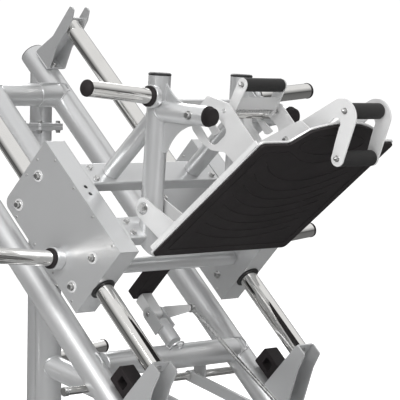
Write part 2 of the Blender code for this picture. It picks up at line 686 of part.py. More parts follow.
# ---------------------------------------------------------------- seat and lock
def back(up, behind=0.0, x=0.0):
    """Point given up the backrest from its hinge and behind it."""
    along = Vector((0, -math.cos(BACK_ANGLE), math.sin(BACK_ANGLE)))
    normal = Vector((0, -math.sin(BACK_ANGLE), -math.cos(BACK_ANGLE)))
    return SEAT_PIVOT + along * up + normal * behind + Vector((x, 0, 0))


def build_seat():
    """Seat carrier with its hinge tube and recline sector, and the seat pad."""
    base_top = BASE_Z + 0.035
    seat_tilt = math.radians(8)
    post_low = base_top + GAP
    post = SEAT_PIVOT + SEAT_POST
    carrier = block("seat_carrier", Vector((0, post.y, (post_low + post.z) / 2)),
                    (0.060, 0.080, post.z - post_low), paint())
    sole = block("seat_sole", Vector((0, post.y, post_low + 0.004)), (0.120, 0.150, 0.008))
    deck = block("seat_deck", SEAT_PIVOT + Vector((0, 0.20, 0.0155)), (0.300, 0.300, 0.010),
                 tilt=seat_tilt)
    strut = rod("seat_strut", Vector((0, post.y, 0.135)), SEAT_PIVOT + Vector((0, 0.005, -0.005)),
                0.016, sides=SMALL_SIDES)
    hinge = rod("back_hinge_tube", SEAT_PIVOT - Vector((0.034, 0, 0)),
                SEAT_PIVOT + Vector((0.034, 0, 0)), 0.020)
    web = sheet("recline_sector", sector_outline(), sector_matrix(), 0.006)
    web_arm = block("sector_arm", SEAT_PIVOT + Vector((0.032, 0.070, -0.033)),
                    (0.034, 0.099, 0.040))
    weld(carrier, sole, deck, strut, hinge, web_arm, web)
    cut(carrier, rod("hinge_bore", SEAT_PIVOT - Vector((0.1, 0, 0)),
                     SEAT_PIVOT + Vector((0.1, 0, 0)), 0.0083))
    block("seat_pad", SEAT_PIVOT + Vector((0, 0.237, 0.062)), (0.400, 0.400, 0.070), upholstery(),
          seat_tilt, 0.015)
    build_backrest()


def sector_matrix():
    """Plane of the recline sector, first axis straight back along -Y."""
    return frame_matrix(SEAT_PIVOT + Vector((0.046, 0, 0)), Vector((0, -1, 0)),
                        Vector((0, 0, 1)), Vector((-1, 0, 0)))


def sector_outline():
    """Quarter ring round the back hinge."""
    return arc((0, 0), 0.135, 20, 64, 6) + arc((0, 0), 0.030, 90, 330, 6)


def build_backrest():
    """Back frame on its hinge pin, the backrest pad, and the knob that clamps the recline."""
    tilt = math.pi - BACK_ANGLE
    frame = block("back_frame", back(0.3412, 0.0), (0.0502, BACK_LENGTH, 0.040), paint(), tilt, 0.004)
    pin = rod("hinge_pin", SEAT_PIVOT - Vector((0.062, 0, 0)), SEAT_PIVOT + Vector((0.062, 0, 0)),
              0.008, sides=SMALL_SIDES)
    arm = ([(0.110, -0.018), (0.110, 0.018)] + arc((0, 0), 0.018, 90, 270, 6))
    ears = [sheet(f"back_ear_{sign}", arm, frame_matrix(back(0, 0, sign * 0.0385),
                                                        back(1) - SEAT_PIVOT,
                                                        back(0, 1) - SEAT_PIVOT,
                                                        Vector((-1, 0, 0))), 0.007)
            for sign in (-1, 1)]
    bridge = block("ear_bridge", back(0.088, 0), (0.0835, 0.040, 0.0355), tilt=tilt)
    crossbars = [block(f"pad_bar_{i}", back(up, -0.0225), (0.300, 0.050, 0.010), tilt=tilt)
                 for i, up in enumerate((0.240, 0.560))]
    pin_up = PIN_REACH * math.cos(math.radians(PIN_LAG))
    pin_behind = PIN_REACH * math.sin(math.radians(PIN_LAG))
    housing = block("pin_housing", back(pin_up, 0.033, 0.027), (0.030, 0.036, 0.042), tilt=tilt)
    weld(frame, pin, *ears, bridge, *crossbars, housing)
    cut(frame, rod("pin_bore", back(pin_up, pin_behind, -0.010), back(pin_up, pin_behind, 0.1),
                   0.0063, sides=SMALL_SIDES))
    block("backrest_pad", back(0.345, -0.0285 - 0.035), (0.380, BACK_LENGTH, 0.070), upholstery(),
          tilt, 0.015)
    plunger = [(0, 0.040), (0.013, 0.040), (0.016, 0.036), (0.016, 0.018), (0.010, 0.014),
               (0.010, 0), (0.0055, 0), (0.0055, -SHANK), (0, -SHANK)]
    turned("recline_knob", back(pin_up, pin_behind, 0.012 - GAP), Vector((-1, 0, 0)), plunger,
           zinc(), SMALL_SIDES)


def build_lock():
    """Swinging stop under the carriage, its link, and the shaft with the two lock levers."""
    stop_pivot = rail(*STOP_PIVOT_RAIL)
    reach = CATCH_LEVEL - STOP_PIVOT_RAIL[0] - GAP
    outline = arc((0, 0), reach, -16, 16, 6) + arc((0, 0), 0.018, 90, 270, 6)
    arm = sheet("stop_arm", outline, frame_matrix(stop_pivot, *side_axes()), 0.044, bright_plate())
    pin = rod("stop_pin", stop_pivot - Vector((0.034, 0, 0)), stop_pivot + Vector((0.056, 0, 0)),
              0.008, sides=SMALL_SIDES)
    crank = crank_plate("stop_crank", stop_pivot + Vector((0.0535, 0, 0)))
    end = stop_pivot + CRANK
    crank_pin = rod("stop_crank_pin", end + Vector((0.052, 0, 0)), end + Vector((0.078, 0, 0)),
                    0.006, sides=SMALL_SIDES)
    weld(arm, pin, crank, crank_pin)
    half = Vector((0.312, 0, 0))
    shaft = rod("lock_shaft", LOCK_SHAFT - half, LOCK_SHAFT + half, 0.0125, chrome())
    shaft_crank = crank_plate("shaft_crank", LOCK_SHAFT + Vector((0.0535, 0, 0)))
    near_end = LOCK_SHAFT + CRANK
    shaft_pin = rod("shaft_crank_pin", near_end + Vector((0.052, 0, 0)),
                    near_end + Vector((0.078, 0, 0)), 0.006, sides=SMALL_SIDES)
    weld(shaft, shaft_crank, shaft_pin)
    for side, sign in both_sides():
        x = Vector((sign * 0.298, 0, 0))
        lever = rod(f"lock_lever_{side}", LOCK_SHAFT + x, LEVER_BEND + x, LEVER_RADIUS, sides=SMALL_SIDES)
        handle = rod(f"lever_handle_{side}", LEVER_BEND + x, LEVER_TIP + x, LEVER_RADIUS, sides=SMALL_SIDES)
        knee = rod(f"lever_knee_{side}", LEVER_BEND + x - Vector((0.013, 0, 0)),
                   LEVER_BEND + x + Vector((0.013, 0, 0)), 0.013, sides=SMALL_SIDES)
        weld(shaft, lever, handle, knee)
        axis = (LEVER_TIP - LEVER_BEND).normalized()
        sleeve = [(0, 0.004), (0.017, 0.004), (0.019, 0.002), (0.019, -0.118), (0.0133, -0.118),
                  (0.0133, -GAP), (0, -GAP)]
        turned(f"lock_grip_{side}", LEVER_TIP + x + axis * 2 * GAP, axis, sleeve, foam())
    build_link(near_end, end)


def crank_plate(name, pivot):
    """Flat lever from a shaft to its link pin."""
    reach = CRANK.length
    outline = arc((reach, 0), 0.012, 90, -90, 6) + arc((0, 0), 0.020, -90, -270, 8)
    direction = CRANK.normalized()
    return sheet(name, outline, frame_matrix(pivot, direction,
                                             Vector((1, 0, 0)).cross(direction),
                                             Vector((1, 0, 0))), 0.006)


def build_link(near_end, far_end):
    """Push rod with an eye at each end; the far eye is bored wide."""
    x = Vector((LINK_X, 0, 0))
    link = rod("stop_link", near_end + x, far_end + x, 0.007, zinc(), sides=SMALL_SIDES)
    width = Vector((0.006, 0, 0))
    for name, place, bore in (("near", near_end, 0.0063), ("far", far_end, 0.0085)):
        centre = place + x
        eye = rod(f"eye_{name}", centre - width, centre + width, 0.015)
        weld(link, eye)
        cut(link, rod(f"eye_bore_{name}", centre - 2 * width, centre + 2 * width, bore, sides=SMALL_SIDES))



def main():
    for old in list(bpy.data.objects):
        bpy.data.objects.remove(old)
    scene = bpy.context.scene.collection
    scene.children.link(PARTS)
    scene.children.link(SHAPERS)
    build_rails()
    build_rod_brackets()
    build_cross_tubes()
    build_rear_frame()
    build_base()
    build_carriage_boxes()
    build_carriage_frame()
    build_weight_horns()
    build_footplate()
    build_tilt_handle()
    build_seat()
    build_lock()


main()
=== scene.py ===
"""Looks of a plate-loaded 45 degree leg press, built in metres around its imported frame.

Each sub-assembly is a class whose fields are its sizes. Places count along and square to the
three sloping planes of the machine: the rails, the footplate and the backrest.
"""

import logging
import math
from collections.abc import Callable, Sequence
from dataclasses import dataclass, field
from enum import Enum

import bmesh
import bpy
from mathutils import Matrix, Vector


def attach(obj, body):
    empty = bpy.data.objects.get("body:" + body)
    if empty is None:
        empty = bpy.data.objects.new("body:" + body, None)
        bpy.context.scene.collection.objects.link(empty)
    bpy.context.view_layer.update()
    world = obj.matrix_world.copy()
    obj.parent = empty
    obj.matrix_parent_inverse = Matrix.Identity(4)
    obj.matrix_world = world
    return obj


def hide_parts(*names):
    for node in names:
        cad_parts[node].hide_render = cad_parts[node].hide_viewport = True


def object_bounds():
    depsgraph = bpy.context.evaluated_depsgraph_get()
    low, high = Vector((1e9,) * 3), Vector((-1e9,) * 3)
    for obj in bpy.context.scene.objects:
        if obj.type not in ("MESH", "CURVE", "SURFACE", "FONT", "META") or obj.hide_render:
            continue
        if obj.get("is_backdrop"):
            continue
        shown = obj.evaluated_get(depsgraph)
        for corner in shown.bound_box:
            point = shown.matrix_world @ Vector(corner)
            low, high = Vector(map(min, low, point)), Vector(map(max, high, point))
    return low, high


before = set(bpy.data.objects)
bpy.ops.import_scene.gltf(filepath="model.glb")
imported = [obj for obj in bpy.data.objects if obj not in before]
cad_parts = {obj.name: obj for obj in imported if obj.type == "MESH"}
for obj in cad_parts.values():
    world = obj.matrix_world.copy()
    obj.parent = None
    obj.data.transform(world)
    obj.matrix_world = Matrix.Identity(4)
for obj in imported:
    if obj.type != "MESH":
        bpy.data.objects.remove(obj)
CAD_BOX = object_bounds()

LOG = logging.getLogger("leg_press")
Point2 = tuple[float, float]
ACROSS = Vector((1, 0, 0))
UP = Vector((0, 0, 1))
ROUND = 56                 # facets round a tube
SMALL_ROUND = 28           # facets round a pin or a bead
SHARP = math.radians(32)   # turn at which an edge is shaded as a corner
CHAMFER = 0.0012           # broken edge of cut plate
BEAD = 0.0032              # weld bead radius
GAP = 0.0003               # air left between touching pieces
PIN_BORE = 0.0083          # bore for a 16 mm pin
MERGE = 0.00002            # distance at which a plate's doubled points are one
ON_AXIS = 1e-6             # radius below which a turned point is a pole


# ---------------------------------------------------------------- places
def point(x: float, y: float, z: float) -> Vector:
    """Dataclass field that starts as a point."""
    return field(default_factory=lambda: Vector((x, y, z)))


@dataclass(frozen=True)
class Slant:
    """A sloping plane of the machine, with distances along it and square to it."""

    origin: Vector
    along: Vector
    square: Vector

    def at(self, along: float, square: float = 0.0, x: float = 0.0) -> Vector:
        """Point along the plane, square to it and across the machine."""
        return self.origin + self.along * along + self.square * square + ACROSS * x

    def standing(self, along: float = 0.0, square: float = 0.0, x: float = 0.0) -> Matrix:
        """Matrix of a plate that stands on edge: first axis along, second axis square."""
        return axes(self.at(along, square, x), self.along, self.square)

    def lying(self, along: float = 0.0, square: float = 0.0, x: float = 0.0) -> Matrix:
        """Matrix of a plate that lies in the plane: first axis across, second axis along."""
        return axes(self.at(along, square, x), ACROSS, self.along)

    def facing(self, along: float = 0.0, square: float = 0.0, x: float = 0.0) -> Matrix:
        """Matrix of a plate across the slope: first axis across, second axis square."""
        return axes(self.at(along, square, x), ACROSS, self.square)

    def local(self, point: Vector) -> Point2:
        """Distances of a point along the plane and square to it."""
        offset = point - self.origin
        return offset.dot(self.along), offset.dot(self.square)


def axes(origin: Vector, first: Vector, second: Vector) -> Matrix:
    """Matrix with the given first and second axes."""
    x_axis = first.normalized()
    y_axis = second.normalized()
    turn = Matrix((x_axis, y_axis, x_axis.cross(y_axis))).transposed().to_4x4()
    return Matrix.Translation(origin) @ turn


def sloping(origin: Sequence[float], degrees: float, behind: float) -> Slant:
    """Plane that rises towards -Y when degrees is above 90.

    Args:
        origin: The point that distances count from.
        degrees: Angle of its first direction above +Y.
        behind: 1 or -1, the side that its square direction points to.

    Returns:
        The plane.
    """
    angle = math.radians(degrees)
    along = Vector((0, math.cos(angle), math.sin(angle)))
    return Slant(Vector(origin), along, ACROSS.cross(along) * behind)


RAIL = sloping((0, 0.09, 0.61), 45, 1)
TREAD = sloping((0, -0.036, 0.775), 180 - 37, -1)
BACK = sloping((0, -0.93, 0.20), 180 - 56, 1)
ROD_X = 0.33
UPRIGHT_X = 0.186
SIDES = (("left", -1), ("right", 1))


def arc(centre: Point2, radius: float, start: float, end: float, steps: int = 16) -> list[Point2]:
    """Points on an arc, with its angles in degrees."""
    angles = [math.radians(start + (end - start) * i / steps) for i in range(steps + 1)]
    return [(centre[0] + radius * math.cos(a), centre[1] + radius * math.sin(a)) for a in angles]


def hole(centre: Point2, radius: float, steps: int = 24) -> list[Point2]:
    """Round hole outline."""
    return arc(centre, radius, 0, 360 * (steps - 1) / steps, steps - 1)


def rounded(corners: Sequence[Point2], radius: float, steps: int = 6) -> list[Point2]:
    """Outline through corners whose turns are rounded.

    Args:
        corners: The corners in order.
        radius: Radius at each corner.
        steps: Segments in each rounded corner.

    Returns:
        The outline's points.
    """
    outline: list[Point2] = []
    for index, corner in enumerate(corners):
        here = Vector(corner)
        before = (Vector(corners[index - 1]) - here).normalized()
        after = (Vector(corners[(index + 1) % len(corners)]) - here).normalized()
        half = before.angle(after) / 2
        reach = radius / math.tan(half)
        centre = here + (before + after).normalized() * radius / math.sin(half)
        first = here + before * reach - centre
        sweep = first.angle_signed(here + after * reach - centre)
        outline += [tuple(centre + Matrix.Rotation(-sweep * i / steps, 2) @ first)
                for i in range(steps + 1)]
    return outline


def rectangle(low: Point2, high: Point2, radius: float, steps: int = 6) -> list[Point2]:
    """Rectangle between two opposite corners, with its corners rounded."""
    return rounded([low, (high[0], low[1]), high, (low[0], high[1])], radius, steps)


def mirrored(right_half: Sequence[Point2]) -> list[Point2]:
    """Whole outline from its right half, which runs from the bottom to the top."""
    return list(right_half) + [(-u, v) for u, v in reversed(right_half)]


# ---------------------------------------------------------------- shader graph
class Wire:
    """A shader socket that adds Math nodes when it is used in an expression."""

    def __init__(self, graph: "Graph", socket: bpy.types.NodeSocket) -> None:
        """Wrap a socket of a graph."""
        self.graph = graph
        self.socket = socket

    def _math(self, operation: str, first: "Wire | float", second: "Wire | float") -> "Wire":
        """Add one Math node."""
        node = self.graph.node("ShaderNodeMath", {"operation": operation}, {0: first, 1: second})
        return Wire(self.graph, node.outputs[0])

    def __add__(self, other: "Wire | float") -> "Wire":
        """Sum."""
        return self._math("ADD", self, other)

    __radd__ = __add__

    def __sub__(self, other: "Wire | float") -> "Wire":
        """Difference."""
        return self._math("SUBTRACT", self, other)

    def __rsub__(self, other: "Wire | float") -> "Wire":
        """Difference with the socket taken away."""
        return self._math("SUBTRACT", other, self)

    def __mul__(self, other: "Wire | float") -> "Wire":
        """Product."""
        return self._math("MULTIPLY", self, other)

    __rmul__ = __mul__

    def __pow__(self, other: "Wire | float") -> "Wire":
        """Power."""
        return self._math("POWER", self, other)


class Graph:
    """The nodes of a material or a world, with a material's Principled shader ready."""

    def __init__(self, owner: bpy.types.ID, coordinates: str = "Object") -> None:
        """Start on a new material or world.

        Args:
            owner: The material or world.
            coordinates: The coordinates that its textures count in.
        """
        owner.use_nodes = True
        self.owner = owner
        self.tree = owner.node_tree
        self.shader = self.tree.nodes.get("Principled BSDF")
        self.place = Wire(self, self.node("ShaderNodeTexCoord", {}, {}).outputs[coordinates])

    def node(self, kind: str, settings: dict, sockets: dict) -> bpy.types.Node:
        """Add a node.

        Args:
            kind: The node's type.
            settings: Its properties, set before its sockets; "stops" fills a colour ramp.
            sockets: Values or wires by socket name or index.

        Returns:
            The node.
        """
        made = self.tree.nodes.new(kind)
        for key, value in settings.items():
            if key == "stops":
                ramp = made.color_ramp.elements
                while len(ramp) < len(value):
                    ramp.new(0.5)
                for element, (position, grey) in zip(ramp, value):
                    element.position = position
                    element.color = (grey, grey, grey, 1)
            else:
                setattr(made, key, value)
        self.feed(made, sockets)
        return made

    def feed(self, node: bpy.types.Node, sockets: dict) -> None:
        """Set or link sockets of a node."""
        for key, value in sockets.items():
            if isinstance(value, Wire):
                self.tree.links.new(value.socket, node.inputs[key])
            else:
                node.inputs[key].default_value = value

    def split(self, rays: str, usual: bpy.types.Node, special: bpy.types.Node) -> None:
        """Show one kind of ray a shader of its own.

        Args:
            rays: The kind, as Light Path names it.
            usual: Shader that all other rays meet.
            special: Shader that these rays meet.
        """
        path = self.node("ShaderNodeLightPath", {}, {})
        mix = self.node("ShaderNodeMixShader", {}, {
            0: Wire(self, path.outputs[rays]), 1: Wire(self, usual.outputs[0]),
            2: Wire(self, special.outputs[0])})
        self.feed(self.tree.get_output_node("CYCLES"), {"Surface": Wire(self, mix.outputs[0])})

    def noise(self, scale: float, detail: float = 3.0,
              stretch: Sequence[float] = (1, 1, 1)) -> Wire:
        """Noise on the piece's own coordinates, from about 0.3 to 0.7."""
        mapped = self.node("ShaderNodeMapping", {}, {"Vector": self.place, "Scale": stretch})
        made = self.node("ShaderNodeTexNoise", {}, {"Vector": Wire(self, mapped.outputs[0]),
                "Scale": scale, "Detail": detail})
        return Wire(self, made.outputs[0])

    def cells(self, scale: float, edges: bool = False) -> Wire:
        """Distance to the nearest cell centre, or to the nearest cell edge."""
        feature = "DISTANCE_TO_EDGE" if edges else "F1"
        made = self.node("ShaderNodeTexVoronoi", {"feature": feature},
                {"Vector": self.place, "Scale": scale})
        return Wire(self, made.outputs["Distance"])

    def ramp(self, value: Wire, stops: Sequence[Point2]) -> Wire:
        """Value remapped through grey stops."""
        made = self.node("ShaderNodeValToRGB", {"stops": stops}, {0: value})
        return Wire(self, made.outputs[0])

    def blend(self, factor: Wire, first: Sequence[float], second: Sequence[float]) -> Wire:
        """Colour between two colours."""
        made = self.node("ShaderNodeMix", {"data_type": "RGBA"},
                {0: factor, 6: (*first, 1), 7: (*second, 1)})
        return Wire(self, made.outputs[2])

    def bump(self, height: Wire, strength: float, distance: float) -> Wire:
        """Normal bent by a height."""
        made = self.node("ShaderNodeBump", {}, {"Height": height, "Strength": strength,
                "Distance": distance})
        return Wire(self, made.outputs[0])


# ---------------------------------------------------------------- finishes
@dataclass(frozen=True)
class Finish:
    """A surface: its two colours, its gloss and its grain."""

    name: str
    slot: str
    light: tuple[float, float, float]
    dark: tuple[float, float, float]
    roughness: float
    metallic: float = 0.0
    coat: float = 0.0
    patch_scale: float = 9.0
    grain_scale: float = 900.0
    grain: float = 0.08
    spread: float = 0.10
    sheen: float = 0.5

    def material(self) -> bpy.types.Material:
        """The finish's material, made once."""
        return bpy.data.materials.get(self.name) or self.paint()

    def paint(self) -> bpy.types.Material:
        """Make the material: patches of tone, uneven gloss and a fine grain."""
        graph = Graph(bpy.data.materials.new(self.name))
        patches = graph.ramp(graph.noise(self.patch_scale), ((0.30, 0.0), (0.70, 1.0)))
        grain = self.texture(graph)
        tone = patches * 0.7 + grain * 0.3
        gloss = self.roughness + (patches - 0.5) * self.spread + (grain - 0.5) * self.spread
        graph.feed(graph.shader, {
            "Base Color": graph.blend(tone, self.dark, self.light),
            "Roughness": gloss,
            "Metallic": self.metallic,
            "Coat Weight": self.coat,
            "Coat Roughness": 0.06,
            "Specular IOR Level": self.sheen,
            "Normal": graph.bump(grain, self.grain, 0.0006),
        })
        return graph.owner

    def texture(self, graph: Graph) -> Wire:
        """Height of the fine grain."""
        return graph.noise(self.grain_scale, 2.0)


class Pebbled(Finish):
    """Moulded rubber or foam, with a pebbled skin."""

    def texture(self, graph: Graph) -> Wire:
        """Small pebbles with finer noise on them."""
        return graph.cells(self.grain_scale) * 0.8 + graph.noise(self.grain_scale * 2.5) * 0.3


class Leather(Finish):
    """Vinyl upholstery, with creases round its grain."""

    def texture(self, graph: Graph) -> Wire:
        """Grain cells raised between their creases."""
        return (graph.cells(self.grain_scale, edges=True) ** 0.5
                + graph.noise(self.grain_scale) * 0.4)


class Drawn(Finish):
    """Bright metal with fine lines from drawing or turning."""

    def texture(self, graph: Graph) -> Wire:
        """Fine lines across the machine with specks."""
        lines = graph.noise(self.grain_scale, 2.0, (0.06, 1.0, 1.0))
        return lines * 0.7 + graph.noise(self.grain_scale * 0.4) * 0.3


PAINT = Finish("silver_powder_coat", "silver_paint", (0.66, 0.665, 0.67), (0.62, 0.625, 0.63),
        0.30, 0.62, 0.5, 5.0, 1500.0, 0.08, 0.025)
PLATE = Finish("pale_satin_plate", "bright_plate", (0.72, 0.72, 0.72), (0.67, 0.67, 0.67), 0.32,
        0.25, 0.3, 9.0, 1300.0, 0.06, 0.04)
CHROME = Drawn("polished_chrome", "chrome", (0.86, 0.85, 0.83), (0.80, 0.79, 0.77), 0.075, 1.0,
        0.0, 14.0, 2200.0, 0.03, 0.05)
ZINC = Drawn("zinc_plated_steel", "zinc", (0.74, 0.74, 0.73), (0.60, 0.60, 0.60), 0.28, 1.0, 0.0,
        60.0, 2600.0, 0.12, 0.16)
RUBBER = Pebbled("ribbed_mat_rubber", "rubber", (0.021, 0.0175, 0.0185), (0.014, 0.0115, 0.012),
        0.60, 0.0, 0.0, 12.0, 1400.0, 0.22, 0.12, 0.22)
FOAM = Pebbled("black_grip_foam", "foam", (0.024, 0.023, 0.023), (0.015, 0.015, 0.015), 0.70, 0.0,
        0.0, 30.0, 1100.0, 0.35, 0.12)
PLASTIC = Finish("black_moulded_plastic", "rubber", (0.020, 0.020, 0.021), (0.012, 0.012, 0.012),
        0.38, 0.0, 0.0, 25.0, 1200.0, 0.10, 0.10)
VINYL = Leather("black_vinyl_leather", "upholstery", (0.030, 0.029, 0.030), (0.020, 0.019, 0.020),
        0.42, 0.0, 0.15, 10.0, 620.0, 0.30, 0.14)
THREAD = Drawn("grey_stitch_thread", "upholstery", (0.20, 0.20, 0.20), (0.12, 0.12, 0.12), 0.70,
        0.0, 0.0, 80.0, 3000.0, 0.30, 0.10)


# ---------------------------------------------------------------- mesh work
class Piece:
    """One visible piece while its shapes are put together."""

    def __init__(self, name: str) -> None:
        """Start an empty piece."""
        self.name = name
        self.shape = bmesh.new()

    def absorb(self, shape: bmesh.types.BMesh, matrix: Matrix) -> "Piece":
        """Add another shape and free it."""
        shape.transform(matrix)
        holder = bpy.data.meshes.new("holder")
        shape.to_mesh(holder)
        shape.free()
        self.shape.from_mesh(holder)
        bpy.data.meshes.remove(holder)
        return self

    def rings(self, rows: Sequence[Sequence[Vector]], closed: bool = False) -> "Piece":
        """Skin rows of points.

        Args:
            rows: Rings of points, where a ring of one point is a pole.
            closed: Whether the last ring joins the first.

        Returns:
            The piece.
        """
        made = [[self.shape.verts.new(point) for point in row] for row in rows]
        pairs = list(zip(made, made[1:]))
        if closed:
            pairs.append((made[-1], made[0]))
        for low, high in pairs:
            count = max(len(low), len(high))
            for i in range(count):
                j = (i + 1) % count
                corners = [low[i % len(low)], low[j % len(low)], high[j % len(high)],
                        high[i % len(high)]]
                self.shape.faces.new(list(dict.fromkeys(corners)))
        return self

    def lathe(self, start: Vector, direction: Vector, profile: Sequence[Point2],
              closed: bool = False, sides: int = ROUND) -> "Piece":
        """Add a turned shape.

        Args:
            start: Where the axis begins.
            direction: Direction of the axis.
            profile: Points as (radius, distance along the axis).
            closed: Whether the profile is a ring, as for a sleeve.
            sides: Facets round the axis.

        Returns:
            The piece.
        """
        place = Matrix.Translation(start) @ direction.to_track_quat("Z", "Y").to_matrix().to_4x4()
        turns = [2 * math.pi * i / sides for i in range(sides)]
        rows = [[place @ Vector((0, 0, height))] if radius < ON_AXIS
                else [place @ Vector((radius * math.cos(a), radius * math.sin(a), height))
                for a in turns] for radius, height in profile]
        return self.rings(rows, closed)

    def tube(self, start: Vector, end: Vector, radius: float, start_cut: Vector | None = None,
             end_cut: Vector | None = None, sides: int = ROUND) -> "Piece":
        """Add a round bar, whose ends may be cut on a slant.

        Args:
            start: Centre of its first end.
            end: Centre of its last end.
            radius: Its radius.
            start_cut: Normal of the plane that cuts the first end.
            end_cut: Normal of the plane that cuts the last end.
            sides: Facets round it.

        Returns:
            The piece.
        """
        axis = (end - start).normalized()
        turn = axis.to_track_quat("Z", "Y").to_matrix()
        edge = min(CHAMFER, radius * 0.2)
        rows: list[list[Vector]] = []
        steps = ((start, start_cut, 0.0, radius - edge), (start, start_cut, edge, radius),
                (end, end_cut, -edge, radius), (end, end_cut, 0.0, radius - edge))
        for centre, normal, shift, reach in steps:
            plane = normal or axis
            row = []
            for i in range(sides):
                angle = 2 * math.pi * i / sides
                offset = turn @ Vector((reach * math.cos(angle), reach * math.sin(angle), 0))
                row.append(centre + offset + axis * (shift - offset.dot(plane) / axis.dot(plane)))
            rows.append(row)
        return self.rings([[start], *rows, [end]])

    def across(self, centre: Vector, half: float, radius: float, sides: int = ROUND) -> "Piece":
        """Add a round bar across the machine."""
        return self.tube(centre - ACROSS * half, centre + ACROSS * half, radius, sides=sides)

    def sweep(self, path: Sequence[Vector], radius: float, closed: bool = False,
              sides: int = 12) -> "Piece":
        """Add a round bar along a path.

        Args:
            path: Points of its centre line.
            radius: Its radius.
            closed: Whether the path is a loop.
            sides: Facets round it.

        Returns:
            The piece.
        """
        count = len(path)
        tangents = []
        for i in range(count):
            ahead = path[(i + 1) % count] if closed or i < count - 1 else path[i]
            behind = path[i - 1] if closed or i > 0 else path[i]
            tangents.append((ahead - behind).normalized())
        side = tangents[0].orthogonal().normalized()
        rows = []
        for point, tangent in zip(path, tangents):
            side = (side - tangent * side.dot(tangent)).normalized()
            other = tangent.cross(side)
            rows.append([point + side * radius * math.cos(2 * math.pi * i / sides) + other
                    * radius * math.sin(2 * math.pi * i / sides) for i in range(sides)])
        if closed:
            return self.rings(rows, True)
        return self.rings([[path[0]], *rows, [path[-1]]])

    def block(self, matrix: Matrix, size: Sequence[float], edge: float = 0.002,
              steps: int = 3) -> "Piece":
        """Add a box with rounded edges, centred on a matrix."""
        shape = bmesh.new()
        bmesh.ops.create_cube(shape, size=1.0)
        bmesh.ops.scale(shape, vec=size, verts=shape.verts)
        bmesh.ops.bevel(shape, geom=shape.edges[:], offset=edge, segments=steps, profile=0.5,
                affect="EDGES")
        return self.absorb(shape, matrix)

    def cut_plate(self, matrix: Matrix, outline: Sequence[Point2], thickness: float,
                  holes: Sequence[Sequence[Point2]] = (), edge: float = CHAMFER) -> "Piece":
        """Add a flat plate, centred on the XY plane of a matrix.

        Args:
            matrix: Its place.
            outline: Its edge.
            thickness: Its thickness.
            holes: Outlines of what is cut out of it.
            edge: Size of its broken edge.

        Returns:
            The piece.
        """
        curve = bpy.data.curves.new("outline", "CURVE")
        curve.dimensions = "2D"
        curve.fill_mode = "BOTH"
        curve.extrude = thickness / 2 - edge
        curve.bevel_depth = edge
        curve.bevel_resolution = 1
        curve.offset = -edge
        for ring, wanted in ((outline, 1), *((cut, -1) for cut in holes)):
            turn = sum(a[0] * b[1] - b[0] * a[1] for a, b in zip(ring, [*ring[1:], ring[0]]))
            points = list(ring) if turn * wanted > 0 else list(reversed(ring))
            spline = curve.splines.new("POLY")
            spline.points.add(len(points) - 1)
            for point, (u, v) in zip(spline.points, points):
                point.co = (u, v, 0, 1)
            spline.use_cyclic_u = True
        source = placed("outline", curve)
        mesh = finished_mesh(source)
        shape = bmesh.new()
        shape.from_mesh(mesh)
        bmesh.ops.remove_doubles(shape, verts=shape.verts, dist=MERGE)
        bpy.data.objects.remove(source)
        bpy.data.meshes.remove(mesh)
        return self.absorb(shape, matrix)

    def bead(self, centre: Vector, direction: Vector, radius: float,
             size: float = BEAD) -> "Piece":
        """Add a weld bead round a tube where it meets a flat face."""
        turn = direction.to_track_quat("Z", "Y").to_matrix()
        path = [centre + turn @ Vector((radius * math.cos(a), radius * math.sin(a), 0))
                for a in (2 * math.pi * i / ROUND for i in range(ROUND))]
        return self.sweep(path, size, True, 8)

    def saddle(self, start: Vector, direction: Vector, radius: float, onto: Vector, axis: Vector,
               wall: float, size: float = BEAD) -> "Piece":
        """Add the weld bead where one tube runs into the side of another.

        Args:
            start: A point on the branch's axis, outside the other tube.
            direction: Direction of the branch, towards the other tube.
            radius: Radius of the branch.
            onto: A point on the other tube's axis.
            axis: Direction of the other tube.
            wall: Radius of the other tube.
            size: Radius of the bead.

        Returns:
            The piece.
        """
        ray = direction.normalized()
        line = axis.normalized()
        turn = ray.to_track_quat("Z", "Y").to_matrix()
        path = []
        for i in range(ROUND):
            angle = 2 * math.pi * i / ROUND
            point = start + turn @ Vector((radius * math.cos(angle), radius * math.sin(angle), 0))
            gap = point - onto
            flat_gap = gap - line * gap.dot(line)
            flat_ray = ray - line * ray.dot(line)
            a = flat_ray.dot(flat_ray)
            b = 2 * flat_gap.dot(flat_ray)
            c = flat_gap.dot(flat_gap) - wall * wall
            inside = max(b * b - 4 * a * c, 0.0)
            path.append(point + ray * (-b - math.sqrt(inside)) / (2 * a))
        return self.sweep(path, size, True, 8)

    def finish(self, finish: Finish, body: str, *nodes: str) -> bpy.types.Object:
        """Turn the piece into an object that rides on a body.

        Args:
            finish: Its surface.
            body: The body that it moves with.
            nodes: The frame's solids that it stands for.

        Returns:
            The object.
        """
        mesh = bpy.data.meshes.new(self.name)
        bmesh.ops.recalc_face_normals(self.shape, faces=self.shape.faces)
        self.shape.to_mesh(mesh)
        self.shape.free()
        return dress(show(self.name, mesh), finish, body, *nodes)


def placed(name: str, data: bpy.types.ID) -> bpy.types.Object:
    """New object in the scene."""
    item = bpy.data.objects.new(name, data)
    bpy.context.scene.collection.objects.link(item)
    return item


def finished_mesh(item: bpy.types.Object) -> bpy.types.Mesh:
    """Plain mesh of an object with its modifiers applied."""
    bpy.context.view_layer.update()
    evaluated = item.evaluated_get(bpy.context.evaluated_depsgraph_get())
    return bpy.data.meshes.new_from_object(evaluated)


def show(name: str, mesh: bpy.types.Mesh) -> bpy.types.Object:
    """Put a mesh in the scene with soft shading and face-weighted normals."""
    item = placed(name, mesh)
    mesh.shade_smooth()
    mesh.set_sharp_from_angle(angle=SHARP)
    weighted = item.modifiers.new("weighted", "WEIGHTED_NORMAL")
    weighted.keep_sharp = True
    return item


